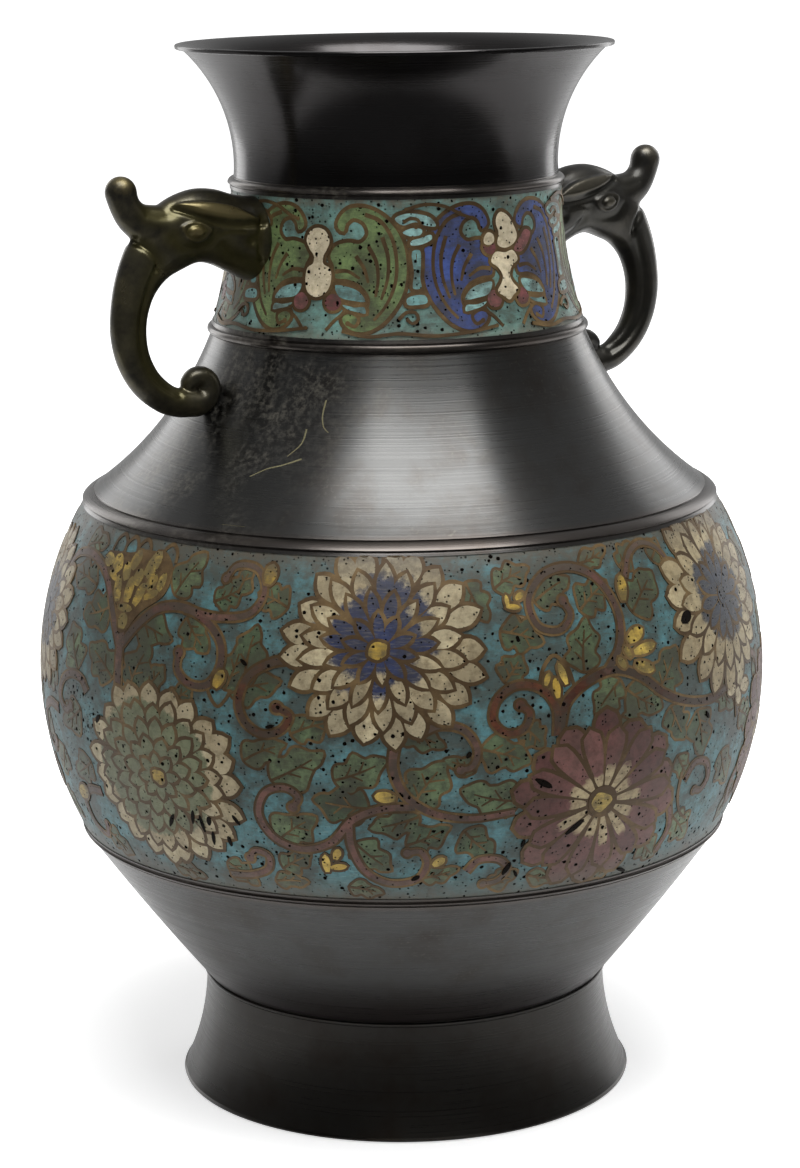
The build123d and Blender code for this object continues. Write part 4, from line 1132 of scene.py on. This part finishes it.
def makeHandle(name):
    shape = handleShape
    curl = []
    for i in range(13):
        share = i / 12
        turned = shape["curlSweep"] * share
        angle = math.radians(turned)
        reach, thick = (start + (end - start) * share for start, end in (shape["curlTurns"], shape["curlRadii"]))
        x, z = shape["curlCentre"]
        curl.append((x - reach * math.sin(angle), z - reach * math.cos(angle), -180 - turned, thick, thick * 1.1))
    loop = sweepSections(shape["loop"]) + [np.array(row) for row in curl]
    horn = sweepSections(shape["horn"])
    piece = skinSections(name, loop + ballEnd(loop[-1]))
    hornPiece = skinSections(name + "Horn", horn + ballEnd(horn[-1]))
    bpy.ops.object.select_all(action="DESELECT")
    hornPiece.select_set(True)
    piece.select_set(True)
    bpy.context.view_layer.objects.active = piece
    bpy.ops.object.join()
    applyModifier(piece, "REMESH", mode="VOXEL", voxel_size=shape["voxel"] * mm)
    applyModifier(piece, "SMOOTH", factor=0.5, iterations=10)
    mesh = piece.data
    count = len(mesh.vertices)
    places, normals = np.zeros(count * 3), np.zeros(count * 3)
    mesh.vertices.foreach_get("co", places)
    mesh.vertices.foreach_get("normal", normals)
    places, normals = places.reshape(-1, 3), normals.reshape(-1, 3)
    flat = places[:, [0, 2]] / mm
    side = np.clip((np.abs(normals[:, 1]) - 0.12) / 0.3, 0, 1)
    lift = np.zeros(count)
    for relief in headReliefs:
        outline = smoothPath(relief["outline"], closed=True, step=0.6)
        inside = insideOutline(flat, outline)
        depthIn = lineDistance(flat, outline + outline[:1])
        rise = np.where(inside, np.clip(depthIn / relief["edge"], 0, 1), 0)
        lift += relief["height"] * np.sin(rise * math.pi / 2) * side
    rub, hollow = np.clip(lift / 1.2, 0, 1), np.zeros(count)
    for groove in headGrooves:
        away = lineDistance(flat, smoothPath(groove["line"], step=0.6))
        lift -= groove["depth"] * np.exp(-(away / groove["width"]) ** 2) * side
        hollow = np.maximum(hollow, np.exp(-(away / (2.4 * groove["width"])) ** 2) * side)
    places += normals * (lift * mm)[:, None]
    mesh.vertices.foreach_set("co", places.ravel())
    mesh.update()
    # the horn's knob is rubbed too
    knob = np.clip(1 - np.linalg.norm(flat - np.array([90.0, 274.5]), axis=1) / 6, 0, 1)
    storeShares(mesh, "rub", np.clip(rub + knob, 0, 1))
    storeShares(mesh, "hollow", hollow)
    pick(piece)
    applyModifier(piece, "SMOOTH", factor=0.4, iterations=2)
    bpy.ops.object.shade_smooth()
    return piece


# Handle bronze: the same alloy, browner and more worn, with olive wax in the hollows and the
# high points rubbed yellow by hands. Scales are per metre, and the clouds are the smoother part.
handleValues = {
    "patina": "#2c2a25", "cloud": "#57523f", "rubbed": "#85784f", "wax": "#48431d", "waxShare": 0.7,
    "cloudScale": 140.0, "grainScale": 1400.0, "roughness": (0.44, 0.26), "metal": 0.78,
}


def handleMaterial(name, **changes):
    values = dict(handleValues, **changes)
    material, tree, place = newMaterial(name)
    clouds, grain = (
        addNode(tree, "TexNoise", place, others={"Scale": values[scale], "Detail": detail, "Roughness": rough})
        for scale, detail, rough in (("cloudScale", 6.0, 0.6), ("grainScale", 3.0, 0.5)))
    rub, hollow = (addNode(tree, "Attribute", output="Fac", attribute_name=kind) for kind in ("rub", "hollow"))
    cloudy = addNode(tree, "MapRange", clouds, 0.36, 0.68)
    worn = addNode(tree, "Math", clouds, 1.3, -0.55, operation="MULTIPLY_ADD")
    worn = addNode(tree, "Math", worn, rub, operation="ADD")
    worn = addNode(tree, "MapRange", worn, 0.35, 1.0, 0.0, 0.7)
    hollow = addNode(tree, "Math", hollow, values["waxShare"], operation="MULTIPLY")
    layers = [(cloudy, values["cloud"]), (worn, values["rubbed"]), (hollow, values["wax"])]
    cast = addNode(tree, "Bump", others={"Strength": 0.5, "Distance": 0.3 * mm, "Height": clouds})
    fine = addNode(tree, "Bump", others={"Strength": 0.15, "Distance": 0.06 * mm, "Height": grain, "Normal": cast})
    return finishMaterial(material, {
        "Base Color": layColors(tree, values["patina"], layers), "Metallic": values["metal"],
        "Roughness": addNode(tree, "MapRange", clouds, 0.3, 0.7, *values["roughness"]),
        "Coat Weight": 0.25, "Coat Roughness": 0.2, "Normal": fine})


handleBronze = handleMaterial("rubbedHandleBronze")
rightHandle = makeHandle("rightBeastHandle")
rightHandle.data.materials.append(handleBronze)
leftHandle = rightHandle.copy()
leftHandle.data = rightHandle.data.copy()
leftHandle.name = leftHandle.data.name = "leftBeastHandle"
leftHandle.data.transform(Matrix.Rotation(math.pi, 4, "Z"))
bpy.context.scene.collection.objects.link(leftHandle)
# painted shade: the right handle gets a darker, greyer copy of the handle bronze, for the shade it sits in
rightHandle.data.materials[0] = handleMaterial("shadedHandleBronze", patina="#302f2d", cloud="#46433c",
                                               rubbed="#625d50", wax="#2b2a24")
enrol(rightHandle, "handle_bronze", "right_handle")
enrol(leftHandle, "handle_bronze", "left_handle")
print("stage: handles cast,", len(rightHandle.data.polygons), "faces each")

# Floor, lights and camera
bpy.ops.mesh.primitive_plane_add(size=60.0, location=(0, 0, cadBox[0].z - 0.2 * mm))
floor = bpy.context.object
floor.name = "studioFloor"
facing = math.radians(studio["cameraAzimuth"])
front = (math.sin(facing), -math.cos(facing), 0.0)
floorMaterial, tree, place = newMaterial("whitePaperFloor")
path = addNode(tree, "LightPath", output=None)
# painted reflection: in glossy rays only, the paper turns dark from a little before the vase on, so the vase's glossy
# walls show a dark room there
ahead = addNode(tree, "VectorMath", place, front, output="Value", operation="DOT_PRODUCT")
dark = addNode(tree, "MapRange", ahead, 0.11, 0.2)
dark = addNode(tree, "Math", path.outputs["Is Glossy Ray"], dark, operation="MULTIPLY")
paper = {0: dark, 6: (0.85, 0.85, 0.85, 1), 7: (0.1, 0.1, 0.1, 1)}
# painted reflection: on the near side the floor glows in glossy rays only, brightening its image in the vase
reflectionGlow = addNode(tree, "Math", path.outputs["Is Glossy Ray"], dark, operation="SUBTRACT")
reflectionGlow = addNode(tree, "Math", reflectionGlow, studio["floorReflectionGlow"], operation="MULTIPLY")
# the camera sees it white, but for the soft shadow round the foot
away = addNode(tree, "VectorMath", place, output="Value", operation="LENGTH")
white = addNode(tree, "MapRange", away, 0.12, 0.6, studio["floorWhite"])
white = addNode(tree, "Math", white, path.outputs["Is Camera Ray"], operation="MULTIPLY")
floor.data.materials.append(finishMaterial(floorMaterial, {
    "Base Color": addNode(tree, "Mix", output=2, others=paper, data_type="RGBA"), "Roughness": 0.9,
    "Emission Color": (1, 1, 1, 1), "Emission Strength": addNode(tree, "Math", white, reflectionGlow, operation="ADD")}))

# The room: dark in front, pale above and behind, and white where the camera sees it
world = bpy.data.worlds.new("studioWorld")
bpy.context.scene.world = world
world.use_nodes = True
tree = world.node_tree
tree.nodes.clear()
path = addNode(tree, "LightPath", output=None)
toward = addNode(tree, "TexCoord", output="Generated")
slope = (-0.5 * front[0], -0.5 * front[1], 0.62)
shade = addNode(tree, "VectorMath", toward, slope, output="Value", operation="DOT_PRODUCT")
shade = addNode(tree, "MapRange", shade, -0.15, 0.5, studio["roomDark"], studio["roomLight"])
room = {0: path.outputs["Is Camera Ray"], 6: shade, 7: (1, 1, 1, 1)}
color = addNode(tree, "Mix", output=2, others=room, data_type="RGBA")
addNode(tree, "OutputWorld", addNode(tree, "Background", color, 1.0), output=None)


# A soft box that looks at the vase: azimuth from the camera and elevation in degrees, distance,
# width and height in metres, and power in watts
def softBox(name, azimuth, elevation, distance, width, height, power):
    light = bpy.data.lights.new(name, "AREA")
    light.shape, light.size, light.size_y, light.energy = "RECTANGLE", width, height, power
    lamp = newObject(name, light)
    a, e = math.radians(azimuth + studio["cameraAzimuth"]), math.radians(elevation)
    toward = Vector((math.sin(a) * math.cos(e), -math.cos(a) * math.cos(e), math.sin(e)))
    target = Vector((0, 0, 0.16))
    lamp.location = target + toward * distance
    lamp.rotation_mode = "QUATERNION"
    lamp.rotation_quaternion = (-toward).to_track_quat("-Z", "Y")
    return lamp


softBox("topBox", 18, 72, 1.5, 1.15, 0.95, 27)
softBox("leftBox", -142, 8, 1.6, 0.6, 1.6, 5)
softBox("rightBox", 142, 8, 1.6, 0.6, 1.6, 5)
softBox("frontBox", 5, 6, 1.8, 1.2, 0.5, 4).visible_glossy = False  # a fill, with no mirror image of itself

a = math.radians(studio["cameraAzimuth"] - studio["yaw"])
pitch, roll = math.radians(studio["pitch"]), math.radians(studio["roll"])
camera = newObject("camera", bpy.data.cameras.new("camera"))
forward = Vector((-math.sin(a) * math.cos(pitch), math.cos(a) * math.cos(pitch), -math.sin(pitch)))
right = Vector((math.cos(a), math.sin(a), 0))
up = right.cross(forward)
right, up = right * math.cos(roll) + up * math.sin(roll), up * math.cos(roll) - right * math.sin(roll)
turn = Matrix((right, up, -forward)).transposed()
spot = Vector(front) * studio["cameraDistance"] * mm
spot.z = studio["cameraHeight"] * mm
camera.matrix_world = Matrix.Translation(spot) @ turn.to_4x4()
camera.data.lens = studio["lens"]
camera.data.clip_end = 60.0
bpy.context.scene.camera = camera
bpy.context.scene.view_settings.view_transform = "Standard"
print("stage: studio set")
